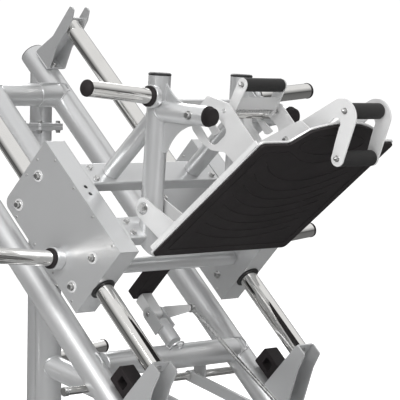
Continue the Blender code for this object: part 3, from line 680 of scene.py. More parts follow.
def dress(item: bpy.types.Object, finish: Finish, body: str, *nodes: str) -> bpy.types.Object:
    """Give an object its finish, body and the solids that it stands for."""
    item.data.materials.clear()
    item.data.materials.append(finish.material())
    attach(item, body)
    if nodes:
        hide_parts(*nodes)
    LOG.info("%s: %d faces on %s", item.name, len(item.data.polygons), body)
    return item


# ---------------------------------------------------------------- repeated work
class Fastener(Enum):
    """The fasteners, each with half its width across and its washer's radius."""

    HEX_BOLT = (0.0085, 0.0115)
    HEAVY_BOLT = (0.0125, 0.0200)
    DOME_NUT = (0.0070, 0.0095)
    SCREW = (0.0042, 0.0)

    def head(self) -> Piece:
        """Shape of the fastener, standing on the XY plane."""
        half, washer = self.value
        piece = Piece(self.name.lower())
        base = 0.0016 if washer else 0.0
        if washer:
            piece.lathe(Vector(), UP, [(0, -0.001), (washer - 0.0004, -0.001), (washer, 0.0),
                    (washer, base - 0.0004), (washer - 0.0004, base), (0, base)],
                    sides=SMALL_ROUND)
        if self is Fastener.SCREW:
            piece.lathe(Vector(), UP, [(0, -0.001), (half, -0.001), (half, 0.0008),
                    (half * 0.8, 0.0020), (half * 0.45, 0.0026), (half * 0.4, 0.0012),
                    (0, 0.0012)], sides=20)
            return piece
        hexagon = [(0, base - 0.0002), (half, base - 0.0002), (half, base + half * 0.85),
                (half * 0.88, base + half), (0, base + half)]
        piece.lathe(Vector(), UP, hexagon, sides=6)
        if self is Fastener.DOME_NUT:
            dome = [(0, base)] + [
                (half * 0.86 * math.cos(a), base + half * (0.95 + 0.7 * math.sin(a)))
                                  for a in (math.radians(d) for d in (0, 25, 50, 72))]
            piece.lathe(Vector(), UP, [*dome, (0, base + half * 1.65)], sides=20)
        return piece


class Tree:
    """A geometry node tree that ends in Realize Instances and Set Material."""

    def __init__(self, name: str, inputs: Sequence[tuple[str, str, float]]) -> None:
        """Start the tree.

        Args:
            name: Its name.
            inputs: Name, socket type and first value of each size.
        """
        self.group = bpy.data.node_groups.new(name, "GeometryNodeTree")
        face = self.group.interface
        face.new_socket("Geometry", in_out="INPUT", socket_type="NodeSocketGeometry")
        self.sockets: dict[str, str] = {}
        for label, kind, value in inputs:
            made = face.new_socket(label, in_out="INPUT", socket_type=kind)
            if kind == "NodeSocketFloat":
                made.default_value = value
            self.sockets[label] = made.identifier
        made = face.new_socket("Material", in_out="INPUT", socket_type="NodeSocketMaterial")
        self.sockets["Material"] = made.identifier
        face.new_socket("Geometry", in_out="OUTPUT", socket_type="NodeSocketGeometry")
        self.start = self.node("NodeGroupInput")
        self.stop = self.node("NodeGroupOutput")

    def node(self, kind: str, settings: dict | None = None,
             sockets: dict | None = None) -> bpy.types.Node:
        """Add a node with its settings, then its values or links."""
        made = self.group.nodes.new(kind)
        for key, value in (settings or {}).items():
            setattr(made, key, value)
        for key, value in (sockets or {}).items():
            if isinstance(value, bpy.types.NodeSocket):
                self.group.links.new(value, made.inputs[key])
            else:
                made.inputs[key].default_value = value
        return made

    def end(self, geometry: bpy.types.NodeSocket) -> "Tree":
        """Close the tree: real geometry with its material."""
        real = self.node("GeometryNodeRealizeInstances", {}, {"Geometry": geometry})
        painted = self.node("GeometryNodeSetMaterial", {}, {
            "Geometry": real.outputs[0], "Material": self.start.outputs["Material"]})
        self.group.links.new(painted.outputs[0], self.stop.inputs["Geometry"])
        return self

    def make(self, name: str, guide: bpy.types.Mesh, values: dict, finish: Finish,
             body: str) -> bpy.types.Object:
        """Run the tree over a guide mesh and keep the result as a plain piece.

        Args:
            name: Name of the piece.
            guide: The mesh of points or lines that it follows.
            values: Sizes and objects by input name.
            finish: Surface of the piece.
            body: The body that it moves with.

        Returns:
            The piece.
        """
        carrier = placed(name + "_guide", guide)
        nodes = carrier.modifiers.new("nodes", "NODES")
        nodes.node_group = self.group
        for label, value in {**values, "Material": finish.material()}.items():
            nodes[self.sockets[label]] = value
        mesh = finished_mesh(carrier)
        mesh.name = name
        for attribute in ("axis", "size"):
            if attribute in mesh.attributes:
                mesh.attributes.remove(mesh.attributes[attribute])
        bpy.data.objects.remove(carrier)
        return dress(show(name, mesh), finish, body)


def fastener_tree() -> Tree:
    """Tree that sets a fastener on each point, turned to the point's axis."""
    tree = Tree("fasteners", [
        ("Fastener", "NodeSocketObject", 0), ("Scale", "NodeSocketFloat", 1)])
    source = tree.node("GeometryNodeObjectInfo", {}, {"Object": tree.start.outputs["Fastener"]})
    axis = tree.node("GeometryNodeInputNamedAttribute", {"data_type": "FLOAT_VECTOR"},
            {"Name": "axis"})
    turn = tree.node("FunctionNodeAlignRotationToVector", {"axis": "Z"},
            {"Vector": axis.outputs[0]})
    placed = tree.node("GeometryNodeInstanceOnPoints", {}, {
        "Points": tree.start.outputs["Geometry"], "Instance": source.outputs["Geometry"],
        "Rotation": turn.outputs[0], "Scale": tree.start.outputs["Scale"]})
    return tree.end(placed.outputs[0])


def rib_tree() -> Tree:
    """Tree that turns guide lines into round ribs with closed ends."""
    tree = Tree("ribs", [("Radius", "NodeSocketFloat", 0.001), ("Step", "NodeSocketFloat", 0.006)])
    lines = tree.node("GeometryNodeMeshToCurve", {}, {"Mesh": tree.start.outputs["Geometry"]})
    even = tree.node("GeometryNodeResampleCurve", {"mode": "LENGTH"},
            {"Curve": lines.outputs[0], "Length": tree.start.outputs["Step"]})
    section = tree.node("GeometryNodeCurvePrimitiveCircle", {}, {
        "Resolution": 8, "Radius": tree.start.outputs["Radius"]})
    swept = tree.node("GeometryNodeCurveToMesh", {}, {
        "Curve": even.outputs[0], "Profile Curve": section.outputs[0], "Fill Caps": True})
    return tree.end(swept.outputs[0])


def stitch_tree() -> Tree:
    """Tree that lays one stitch at each step along its guide lines."""
    tree = Tree("stitches", [
        ("Stitch", "NodeSocketObject", 0), ("Step", "NodeSocketFloat", 0.006)])
    lines = tree.node("GeometryNodeMeshToCurve", {}, {"Mesh": tree.start.outputs["Geometry"]})
    points = tree.node("GeometryNodeCurveToPoints", {"mode": "LENGTH"},
            {"Curve": lines.outputs[0], "Length": tree.start.outputs["Step"]})
    turn = tree.node("FunctionNodeAlignRotationToVector", {"axis": "Z"},
            {"Vector": points.outputs["Tangent"]})
    source = tree.node("GeometryNodeObjectInfo", {}, {"Object": tree.start.outputs["Stitch"]})
    placed = tree.node("GeometryNodeInstanceOnPoints", {}, {
        "Points": points.outputs["Points"], "Instance": source.outputs["Geometry"],
        "Rotation": turn.outputs[0]})
    return tree.end(placed.outputs[0])


@dataclass
class Workshop:
    """The three trees and the fastener shapes, made once and shared."""

    trees: dict[str, Tree] = field(default_factory=dict)
    masters: dict[str, bpy.types.Object] = field(default_factory=dict)

    def tree(self, make: Callable[[], Tree]) -> Tree:
        """A tree, made on first use."""
        if make.__name__ not in self.trees:
            self.trees[make.__name__] = make()
        return self.trees[make.__name__]

    def master(self, piece: Piece) -> bpy.types.Object:
        """An object for trees to copy, made on first use."""
        if piece.name not in self.masters:
            mesh = bpy.data.meshes.new(piece.name)
            bmesh.ops.recalc_face_normals(piece.shape, faces=piece.shape.faces)
            piece.shape.to_mesh(mesh)
            self.masters[piece.name] = bpy.data.objects.new(piece.name, mesh)
        piece.shape.free()
        return self.masters[piece.name]

    def bolts(self, name: str, kind: Fastener, spots: Sequence[tuple[Vector, Vector]], body: str,
              scale: float = 1.0, finish: Finish = ZINC) -> bpy.types.Object:
        """Set fasteners on their spots.

        Args:
            name: Name of the piece.
            kind: Which fastener.
            spots: Point and outward direction of each.
            body: The body that they move with.
            scale: Size against the fastener's own.
            finish: Their surface.

        Returns:
            The piece.
        """
        guide = bpy.data.meshes.new(name)
        guide.from_pydata([spot for spot, _ in spots], [], [])
        facing = guide.attributes.new("axis", "FLOAT_VECTOR", "POINT")
        facing.data.foreach_set("vector", [c for _, way in spots for c in way])
        values = {"Fastener": self.master(kind.head()), "Scale": scale}
        return self.tree(fastener_tree).make(name, guide, values, finish, body)

    def ribs(self, name: str, lines: Sequence[Sequence[Vector]], radius: float, finish: Finish,
             body: str) -> bpy.types.Object:
        """Raise ribs along lines."""
        values = {"Radius": radius, "Step": 0.006}
        return self.tree(rib_tree).make(name, guide_lines(name, lines), values, finish, body)

    def stitches(self, name: str, lines: Sequence[Sequence[Vector]],
                 body: str) -> bpy.types.Object:
        """Sew along lines."""
        stitch = Piece("stitch").lathe(Vector((0, 0, -0.0022)), UP, [
            (0, 0), (0.0006, 0.0003), (0.0008, 0.0022), (0.0006, 0.0041), (0, 0.0044)], sides=8)
        values = {"Stitch": self.master(stitch), "Step": 0.0065}
        return self.tree(stitch_tree).make(name, guide_lines(name, lines), values, THREAD, body)

    def close(self) -> None:
        """Remove the shapes that the trees copied."""
        for master in self.masters.values():
            bpy.data.objects.remove(master)
        self.masters.clear()


def guide_lines(name: str, lines: Sequence[Sequence[Vector]]) -> bpy.types.Mesh:
    """Mesh of plain lines for a tree to follow."""
    points: list[Vector] = []
    edges: list[tuple[int, int]] = []
    for line in lines:
        edges += [(len(points) + i, len(points) + i + 1) for i in range(len(line) - 1)]
        points += line
    guide = bpy.data.meshes.new(name)
    guide.from_pydata(points, edges, [])
    return guide


SHOP = Workshop()


# ---------------------------------------------------------------- fixed frame
def tube_plug(name: str, top: Vector, axis: Vector, radius: float, rim: float,
              crown: float) -> None:
    """Plastic plug in the upper end of a frame tube.

    Args:
        name: Name of the piece.
        top: Centre of the tube's end.
        axis: Direction of the tube.
        radius: Radius of the tube.
        rim: Height of the plug's edge.
        crown: Height of its middle.
    """
    Piece(name).lathe(top - axis * 0.004, axis, [
        (0, -0.006), (radius - 0.006, -0.006), (radius - 0.0005, 0), (radius - 0.0005, 0.002),
        (radius - 0.004, rim), (0, crown)]).finish(PLASTIC, "frame")


@dataclass
class Rails:
    """Guide rods on their brackets over the two main tubes, with the cross tubes."""

    rod_radius: float = 0.030
    rod_start: float = -0.246
    rod_end: float = 1.284
    tube_radius: float = 0.045
    tube_drop: float = -0.214
    tube_top: float = 1.363
    floor_level: float = 0.1046
    cross: Vector = point(0, 1.046, 1.270)
    tie_rod: Vector = point(0, 0.215, 0.347)

    def build(self) -> None:
        """Make both rails and what ties them."""
        for side, sign in SIDES:
            self.rod(side, sign * ROD_X)
            self.main_tube(side, sign * ROD_X)
            self.brackets(side, sign * ROD_X)
            self.bumper(side, sign * ROD_X)
        self.lower_crossbar()
        self.upper_crossbar()

    def rod(self, side: str, x: float) -> None:
        """Chromed rod with turned ends."""
        start = RAIL.at(self.rod_start, 0, x)
        length = self.rod_end - self.rod_start
        radius = self.rod_radius
        profile = [(0, 0), (radius - 0.003, 0), (radius, 0.003), (radius, length - 0.003),
                (radius - 0.003, length), (0, length)]
        Piece(f"guide_rod_bar_{side}").lathe(start, RAIL.along, profile, sides=72).finish(
            CHROME, "frame", f"guide_rod_{side}")

    def main_tube(self, side: str, x: float) -> None:
        """Painted tube from the floor frame, with a plastic plug in its upper end."""
        foot = RAIL.at(0, self.tube_drop, x)
        foot += RAIL.along * (self.floor_level - foot.z) / RAIL.along.z
        top = RAIL.at(self.tube_top, self.tube_drop, x)
        piece = Piece(f"main_tube_pipe_{side}")
        piece.tube(foot, top - RAIL.along * 0.004, self.tube_radius, UP)
        piece.finish(PAINT, "frame", f"main_tube_{side}")
        tube_plug(f"main_tube_plug_{side}", top, RAIL.along, self.tube_radius, 0.0045, 0.0055)

    def brackets(self, side: str, x: float) -> None:
        """Folded bracket at each end of the rod, bolted through its web and sole."""
        sole_level = self.tube_drop + self.tube_radius + GAP
        wall = 0.006
        for end, seat, way in (("lower", self.rod_start, -1), ("upper", self.rod_end, 1)):
            lower = [(0, 0.036), (-0.046, 0.036), (-0.060, -0.02), (-0.128, sole_level),
                    (0, sole_level)]
            upper = [(-0.060, sole_level), (0.038, sole_level), (0.032, -0.142), (0.011, -0.063),
                    (0.020, 0.078), (-0.004, 0.078), (-0.022, 0.046), (-0.029, -0.004),
                    (-0.030, -0.080)]
            cheek = rounded(lower if way < 0 else upper, 0.010)
            near, far = (-0.118, 0.0) if way < 0 else (-0.052, 0.034)
            piece = Piece(f"{end}_rod_seat_{side}")
            for reach in (-0.037, 0.037):
                piece.cut_plate(RAIL.standing(seat + way * GAP, 0, x + reach), cheek, wall)
            middle = (sole_level + 0.036) / 2
            piece.block(RAIL.standing(seat + way * (wall / 2 + GAP), middle, x),
                    (wall, 0.036 - sole_level - 0.004, 0.070), 0.001)
            piece.block(RAIL.standing(seat + (near + far) / 2, sole_level + wall / 2, x),
                    (far - near - 0.002, wall, 0.070), 0.001)
            for reach in (-0.0395, 0.0395):
                path = [RAIL.at(seat + near + (far - near) * t, sole_level + 0.001, x + reach)
                        for t in (0.05, 0.3, 0.5, 0.7, 0.95)]
                piece.sweep(path, BEAD)
            piece.finish(PAINT, "frame", f"{end}_rod_bracket_{side}")
            web = seat + way * (wall + GAP)
            SHOP.bolts(f"{end}_rod_end_bolt_{side}", Fastener.HEAVY_BOLT,
                    [(RAIL.at(web, 0, x), RAIL.along * way)], "frame")
            sole = sole_level + wall
            SHOP.bolts(f"{end}_sole_bolts_{side}", Fastener.HEX_BOLT,
                    [(RAIL.at(seat + near + (far - near) * t, sole, x), RAIL.square)
                    for t in (0.2, 0.5)], "frame")

    def bumper(self, side: str, x: float) -> None:
        """Rubber block with a slot through it, under the rod's lower end."""
        outline = rectangle((-0.2457, -0.150), (-0.158, -0.086), 0.006)
        slot = rectangle((-0.220, -0.132), (-0.186, -0.102), 0.004)
        Piece(f"bumper_block_{side}").cut_plate(RAIL.standing(0, 0, x), outline, 0.058, [slot],
                0.002).finish(RUBBER, "frame", f"bumper_{side}")

    def lower_crossbar(self) -> None:
        """Tube between the main tubes that carries the stop post and its ears."""
        centre = RAIL.at(-0.068, -0.200)
        piece = Piece("lower_crossbar_pipe")
        piece.across(centre, 0.300, 0.040)
        for _, sign in SIDES:
            piece.saddle(centre + ACROSS * sign * 0.2, ACROSS * sign, 0.040,
                    RAIL.at(0, self.tube_drop, sign * ROD_X), RAIL.along, self.tube_radius)
        post = RAIL.at(-0.050, -0.150)
        piece.tube(post, RAIL.at(0.035, -0.150), 0.026)
        piece.saddle(RAIL.at(0.03, -0.150), -RAIL.along, 0.026, centre, ACROSS, 0.040)
        pivot = (0.075, -0.150)
        ear = (arc(pivot, 0.021, -90, 90) + [(0.005, -0.128), (0.005, -0.172)])
        for sign in (-1, 1):
            piece.cut_plate(RAIL.standing(0, 0, sign * 0.027), ear, 0.008, [hole(pivot, PIN_BORE)])
        for _, sign in SIDES:
            hanger = axes(Vector((sign * 0.165, 0, 0)), Vector((0, 1, 0)), UP)
            piece.cut_plate(hanger, rectangle((0.180, 0.334), (0.226, 0.410), 0.010), 0.012)
        piece.finish(PAINT, "frame", "lower_crossbar")
        self.tie()

    def tie(self) -> None:
        """Chromed tie rod under the crossbar, with its collars and end caps."""
        rod = Piece("tie_rod_bar")
        rod.across(self.tie_rod, 0.4299, 0.0125)
        rod.finish(CHROME, "frame")
        collars = Piece("tie_rod_collars")
        for x in (-0.190, -0.147, 0.137, 0.177):
            collars.lathe(self.tie_rod + ACROSS * x, ACROSS, [
                (0.0124, 0), (0.0175, 0), (0.0185, 0.001), (0.0185, 0.009), (0.0175, 0.010),
                (0.0124, 0.010)], True, SMALL_ROUND)
        for _, sign in SIDES:
            collars.lathe(self.tie_rod + ACROSS * sign * 0.4270, ACROSS * sign, [
                (0, -0.012), (0.0122, -0.012), (0.0150, -0.011), (0.0150, 0.0015),
                (0.0130, 0.0028),
                (0, 0.0029)], False, SMALL_ROUND)
        collars.finish(ZINC, "frame")

    def upper_crossbar(self) -> None:
        """Tube between the main tubes at the top, with the centre tube that props it."""
        piece = Piece("upper_crossbar_pipe")
        piece.across(self.cross, 0.300, 0.0405)
        for _, sign in SIDES:
            sleeve = self.cross + ACROSS * sign * 0.205
            piece.lathe(sleeve, ACROSS * sign, [(0.039, 0), (0.0435, 0.0), (0.0435, 0.095),
                    (0.039, 0.095)], True)
            piece.saddle(self.cross + ACROSS * sign * 0.2, ACROSS * sign, 0.0435,
                    RAIL.at(0, self.tube_drop, sign * ROD_X), RAIL.along, self.tube_radius)
        foot = RAIL.at(0.62, self.tube_drop)
        piece.tube(foot, self.cross, 0.045)
        piece.saddle(foot, self.cross - foot, 0.045, self.cross, ACROSS, 0.0405)
        piece.finish(PAINT, "frame", "upper_crossbar")


@dataclass
class RearFrame:
    """Rear posts with their bolted flanges, and the middle column with the spine tube."""

    post_radius: float = 0.040
    flange_level: float = 1.155
    flange_half: float = 0.060
    floor_level: float = 0.1046
    column_y: float = 0.76

    def build(self) -> None:
        """Make the posts and the column."""
        for side, sign in SIDES:
            self.post(side, sign * ROD_X)
        self.column()

    def post(self, side: str, x: float) -> None:
        """Post in two lengths, joined by a pair of bolted flanges."""
        foot, head = Vector((x, 1.185, 0.05)), Vector((x, 1.156, 1.355))
        axis = (head - foot).normalized()
        foot += axis * (self.floor_level - foot.z) / axis.z
        piece = Piece(f"rear_post_pipe_{side}")
        piece.tube(foot, head - axis * 0.004, self.post_radius, UP)
        piece.bead(foot + axis * 0.001, UP, self.post_radius)
        place = Matrix.Translation(Vector((x, 1.160, self.flange_level)))
        half = self.flange_half
        outline = rectangle((-half, -half), (half, half), 0.012)
        for level in (-0.0062, 0.0062):
            piece.cut_plate(place @ Matrix.Translation((0, 0, level)), outline, 0.0118)
            piece.bead(Vector((x, 1.160, self.flange_level + 2 * level)), UP, self.post_radius)
        piece.finish(PAINT, "frame", f"rear_post_{side}")
        corners = [Vector((x + u * 0.044, 1.160 + v * 0.044, 0)) for u in (-1, 1) for v in (-1, 1)]
        level = Vector((0, 0, self.flange_level))
        spots = [(corner + level + way * 0.012 * UP, UP * way) for corner in corners
                for way in (-1, 1)]
        SHOP.bolts(f"flange_bolts_{side}", Fastener.HEX_BOLT, spots, "frame")
        tube_plug(f"rear_post_plug_{side}", head, axis, self.post_radius, 0.0035, 0.004)

    def column(self) -> None:
        """Upright column under the centre tube, and the spine tube towards the seat."""
        foot = Vector((0, self.column_y, self.floor_level))
        centre_tube = RAIL.at(0.7, -0.214)
        spine_low = Vector((0, -0.215, 0.130))
        spine_high = Vector((0, self.column_y, 0.350))
        piece = Piece("center_column_pipe")
        piece.tube(foot, Vector((0, self.column_y, 0.930)), 0.045)
        piece.bead(foot + UP * 0.001, UP, 0.045)
        piece.saddle(foot + UP * 0.5, UP, 0.045, centre_tube, RAIL.along, 0.045)
        axis = (spine_high - spine_low).normalized()
        low = spine_low + axis * (self.floor_level + 0.0105 - spine_low.z) / axis.z
        piece.tube(low, spine_high, 0.040)
        piece.saddle(spine_low, axis, 0.040, foot, UP, 0.045)
        piece.finish(PAINT, "frame", "center_column")
        for level in (0.62, 0.68):
            SHOP.bolts(f"column_bolt_{round(level * 100)}", Fastener.HEX_BOLT,
                    [(Vector((0, self.column_y - 0.045, level)), Vector((0, -1, 0)))], "frame")


@dataclass
class FloorFrame:
    """Rectangular floor tubes with end plugs, rubber feet, shaft posts and struts."""

    height: float = 0.09
    width: float = 0.10
    middle_z: float = 0.0593
    rear_half: float = 0.42
    front_half: float = 0.30
    end_y: float = 1.25
    middle_y: float = -0.19
    corner: float = 0.010

    def build(self) -> None:
        """Make both floor frames and the feet."""
        rear = Piece("rear_floor_frame")
        self.bar(rear, self.end_y, self.rear_half)
        self.bar(rear, self.middle_y, self.rear_half)
        self.runner(rear, self.middle_y, self.end_y)
        shaft, tie = Vector((0, self.middle_y, 0.235)), Vector((0, 0.215, 0.347))
        run = tie - shaft
        strut = arc((run.length, 0), 0.018, -90, 90) + arc((0, 0), 0.018, 90, 270)
        bores = [hole((0, 0), 0.0128), hole((run.length, 0), 0.0128)]
        for _, sign in SIDES:
            x = sign * 0.128
            post_top, post_low = shaft.z - 0.010, self.middle_z + self.height / 2 - 0.005
            rear.block(Matrix.Translation((x, self.middle_y, (post_top + post_low) / 2)),
                    (0.030, 0.036, post_top - post_low), 0.003)
            rear.cut_plate(axes(shaft + ACROSS * x, run, ACROSS.cross(run)), strut, 0.012, bores)
            rear.lathe(shaft + ACROSS * (x - 0.015), ACROSS, [
                (0.0129, 0), (0.018, 0), (0.018, 0.030), (0.0129, 0.030)], True)
        rear.finish(PAINT, "frame", "rear_base_frame")
        front = Piece("seat_floor_frame")
        self.bar(front, -self.end_y, self.front_half)
        self.runner(front, -self.end_y, self.middle_y - self.width / 2 - GAP - 0.001)
        front.finish(PAINT, "frame", "seat_base_frame")
        for name, y, half in (("rear", self.end_y, self.rear_half),
                ("middle", self.middle_y, self.rear_half), ("front", -self.end_y,
                self.front_half)):
            plugs = Piece(f"{name}_bar_plugs")
            for _, sign in SIDES:
                plugs.block(Matrix.Translation((sign * (half + 0.0005), y, self.middle_z)),
                        (0.005, self.width - 0.012, self.height - 0.012), 0.002)
            plugs.finish(PLASTIC, "frame")
        for name, y, half in (("front", -self.end_y, self.front_half),
                ("rear", self.end_y, self.rear_half)):
            for side, sign in SIDES:
                self.foot(f"{name}_foot", side, Vector((sign * (half - 0.06), y, 0)))
        SHOP.bolts("base_joint_bolts", Fastener.HEX_BOLT, [
            (Vector((x, -0.275, self.middle_z + 0.035)), UP) for x in (-0.022, 0.022)], "frame")

    def bar(self, piece: Piece, y: float, half: float) -> None:
        """Tube across the machine."""
        piece.block(Matrix.Translation((0, y, self.middle_z)), (2 * half - 0.001, self.width,
                self.height), self.corner, 5)

    def runner(self, piece: Piece, start: float, end: float) -> None:
        """Tube along the machine, welded between two bars."""
        piece.block(Matrix.Translation((0, (start + end) / 2, self.middle_z)),
                (0.080, end - start, 0.070), 0.008, 5)

    def foot(self, name: str, side: str, place: Vector) -> None:
        """Moulded rubber foot with a raised rim."""
        outline = rectangle((-0.045, -0.040), (0.045, 0.040), 0.010)
        rim = rectangle((-0.043, -0.038), (0.043, 0.038), 0.009)
        piece = Piece(f"{name}_pad_{side}")
        piece.cut_plate(Matrix.Translation(place + UP * 0.0050), outline, 0.010, (), 0.002)
        piece.cut_plate(Matrix.Translation(place + UP * 0.0110), rim, 0.006, (), 0.001)
        piece.finish(RUBBER, "frame", f"{name}_{side}")


@dataclass
class WeightPegs:
    """Chromed pegs for weight discs, each with a collar, a rubber ring and a domed cap."""

    radius: float = 0.025
    collar_radius: float = 0.036

    def build(self) -> None:
        """Make the storage pegs, the high pegs and the low pegs."""
        for side, sign in SIDES:
            start = Vector((sign * (ROD_X + 0.030), 1.178, 0.299))
            self.peg(f"storage_horn_{side}", start, Vector((sign * 0.66, 1.178, 0.328)), 0.30,
                    0.040, 0.012, "frame")
            start = Vector((sign * (UPRIGHT_X + 0.010), 0.032, 1.252))
            tip = Vector((sign * 0.500, 0.032, 1.278))
            self.peg(f"upper_horn_{side}", start, tip, (tip - start).length, 0.045, 0.020,
                    "carriage")
            start = Vector((sign * (ROD_X + 0.031), 0.300, 0.749))
            tip = Vector((sign * 0.830, 0.300, 0.792))
            self.peg(f"lower_horn_{side}", start, tip, (tip - start).length, 0.045, 0.010,
                    "carriage")

    def peg(self, node: str, start: Vector, tip: Vector, length: float, collar: float,
            hidden: float, body: str) -> None:
        """Make one peg.

        Args:
            node: The frame's solid that it stands for.
            start: Root of the peg.
            tip: A point towards its end.
            length: Length from the root to the end.
            collar: Length of the collar.
            hidden: Length of the collar inside what it is welded to.
            body: The body that it moves with.
        """
        axis = (tip - start).normalized()
        radius, wide = self.radius, self.collar_radius
        bar = Piece(f"{node}_bar")
        bar.lathe(start, axis, [(0, hidden), (radius, hidden), (radius, length - 0.0045),
                (radius - 0.002, length - 0.0035), (0, length - 0.0035)])
        bar.finish(CHROME, body, node)
        sleeve = Piece(f"{node}_collar")
        sleeve.lathe(start, axis, [
            (radius - 0.001, hidden), (wide - 0.002, hidden), (wide - 0.002, collar - 0.014),
            (wide, collar - 0.013), (wide, collar - 0.005), (wide - 0.002, collar - 0.003),
            (radius - 0.001, collar - 0.003)], True)
        sleeve.finish(PAINT, body)
        rings = Piece(f"{node}_rings")
        rings.lathe(start, axis, [
            (radius - 0.001, collar - 0.003), (wide - 0.004, collar - 0.003),
            (wide - 0.0035, collar + 0.004), (wide - 0.007, collar + 0.008),
            (radius - 0.001, collar + 0.008)], True)
        rings.lathe(start, axis, [
            (0, length - 0.0034), (radius - 0.0002, length - 0.0034),
            (radius + 0.0012, length - 0.002),
            *[(radius * math.cos(t) + 0.0012, length + 0.001 + 0.014 * math.sin(t))
              for t in (0.0, 0.3, 0.6, 0.9, 1.2)], (0, length + 0.0154)])
        rings.finish(RUBBER, body)


# ---------------------------------------------------------------- carriage
@dataclass
class SideBoxes:
    """Sheet steel boxes that run on the rods, with their rollers, bolts and bushings."""

    start: float = 0.075
    end: float = 0.550
    low: float = -0.112
    high: float = 0.168
    half_width: float = 0.041
    wall: float = 0.004
    corner: float = 0.030
    roller_places: tuple[float, float] = (0.146, 0.495)
    roller_offset: float = 0.066
    rod_radius: float = 0.030

    def build(self) -> None:
        """Make both boxes and the eight rollers."""
        for side, sign in SIDES:
            self.shell(side, sign * ROD_X)
            self.fittings(side, sign)
            for along, place in zip(self.roller_places, ("lower", "upper")):
                for level, face in ((1, "top"), (-1, "under")):
                    self.roller(f"{side}_{place}_{face}", RAIL.at(along,
                            level * self.roller_offset, sign * ROD_X))

    def shell(self, side: str, x: float) -> None:
        """Two cheeks, a floor, a roof with holes and an end plate with the rod's mouth."""
        corner = self.corner
        cheek = ([(self.start, self.low), (self.end - corner, self.low)]
                + arc((self.end - corner, self.low + corner), corner, -90, 0)[1:]
                + [(self.end, self.high), (self.start, self.high)])
        wall, half = self.wall, self.half_width
        piece = Piece(f"side_box_shell_{side}")
        for reach in (-1, 1):
            piece.cut_plate(RAIL.standing(0, 0, x + reach * (half - wall / 2)), cheek, wall)
        inner = half - wall - 0.0002
        roof_holes = [hole((0, self.start + s), 0.007) for s in (0.245, 0.275)]
        roof = rectangle((-inner, self.start + 0.0005), (inner, self.end - 0.001), 0.003)
        floor = [(u, min(v, self.end - corner)) for u, v in roof]
        piece.cut_plate(RAIL.lying(0, self.high - wall / 2 - 0.0005, x), roof, wall, roof_holes,
                0.0008)
        piece.cut_plate(RAIL.lying(0, self.low + wall / 2 + 0.0005, x), floor, wall, (), 0.0008)
        gate = rectangle((-inner, self.low + 0.001), (inner, self.high - 0.001), 0.003)
        piece.cut_plate(RAIL.facing(self.start + wall / 2 + 0.0005, 0, x), gate, wall,
                [hole((0, 0), 0.0355, 40)], 0.0008)
        piece.finish(PAINT, "carriage", f"carriage_box_{side}")

    def fittings(self, side: str, sign: int) -> None:
        """Bushing, end cap, axles with big washers, and the screws along the edges."""
        x = sign * ROD_X
        bush = Piece(f"rod_bushing_{side}")
        bush.lathe(RAIL.at(self.start - 0.004, 0, x), RAIL.along, [
            (self.rod_radius + 0.0004, 0.001), (self.rod_radius + 0.002, 0), (0.0385, 0),
            (0.0410, 0.002), (0.0410, 0.0045), (0.0350, 0.0045), (0.0350, 0.016),
            (self.rod_radius + 0.0004, 0.016)], True)
        bush.finish(PLASTIC, "carriage")
        axles = Piece(f"roller_axles_{side}")
        spots = []
        reach = self.half_width
        for along in self.roller_places:
            for level in (-1, 1):
                centre = RAIL.at(along, level * self.roller_offset, x)
                axles.across(centre, (reach - 0.001), 0.008, sides=SMALL_ROUND)
                outer = centre + ACROSS * sign * reach
                axles.lathe(outer, ACROSS * sign, [(0, -0.001), (0.019, -0.001), (0.0195, 0.0004),
                        (0.0190, 0.0022), (0, 0.0022)])
                spots.append((outer + ACROSS * sign * 0.0014, ACROSS * sign))
                spots.append((centre - ACROSS * sign * reach, -ACROSS * sign))
        axles.finish(PLATE, "carriage")
        SHOP.bolts(f"axle_bolts_{side}", Fastener.HEX_BOLT, spots, "carriage", 1.15)
        lines = [(s, n) for n in (self.low + 0.012, self.high - 0.012)
                for s in (0.115, 0.235, 0.355, 0.475)] + [(0.535, 0.03), (0.535, 0.10)]
        SHOP.bolts(f"box_screws_{side}", Fastener.SCREW, [(RAIL.at(s, n, x + way * reach),
                ACROSS * way) for s, n in lines for way in (-1, 1)], "carriage")

    def roller(self, name: str, centre: Vector) -> None:
        """Grooved roller on its bearing, shaped to the rod."""
        half = 0.016
        steps = 12
        groove = [half - 2 * half * i / steps for i in range(steps + 1)]
        rim = [(self.roller_offset - GAP - math.sqrt(self.rod_radius ** 2 - z * z), z)
               for z in groove]
        side = half + 0.002
        profile = [(0.0145, side - 0.003), (0.016, side - 0.001), (rim[0][0] - 0.001, side),
                (rim[0][0], side - 0.001), *rim, (rim[0][0], 0.001 - side),
                (rim[0][0] - 0.001, -side), (0.016, 0.001 - side), (0.0145, 0.003 - side)]
        Piece(f"roller_tread_{name}").lathe(centre, ACROSS, profile, True).finish(
            PLASTIC, f"roller_{name}_body", f"roller_{name}")
        bearing = [(PIN_BORE, 0.015), (0.0150, 0.015), (0.0150, -0.015), (PIN_BORE, -0.015)]
        Piece(f"roller_bearing_{name}").lathe(centre, ACROSS, bearing, True, SMALL_ROUND).finish(
            ZINC, f"roller_{name}_body")


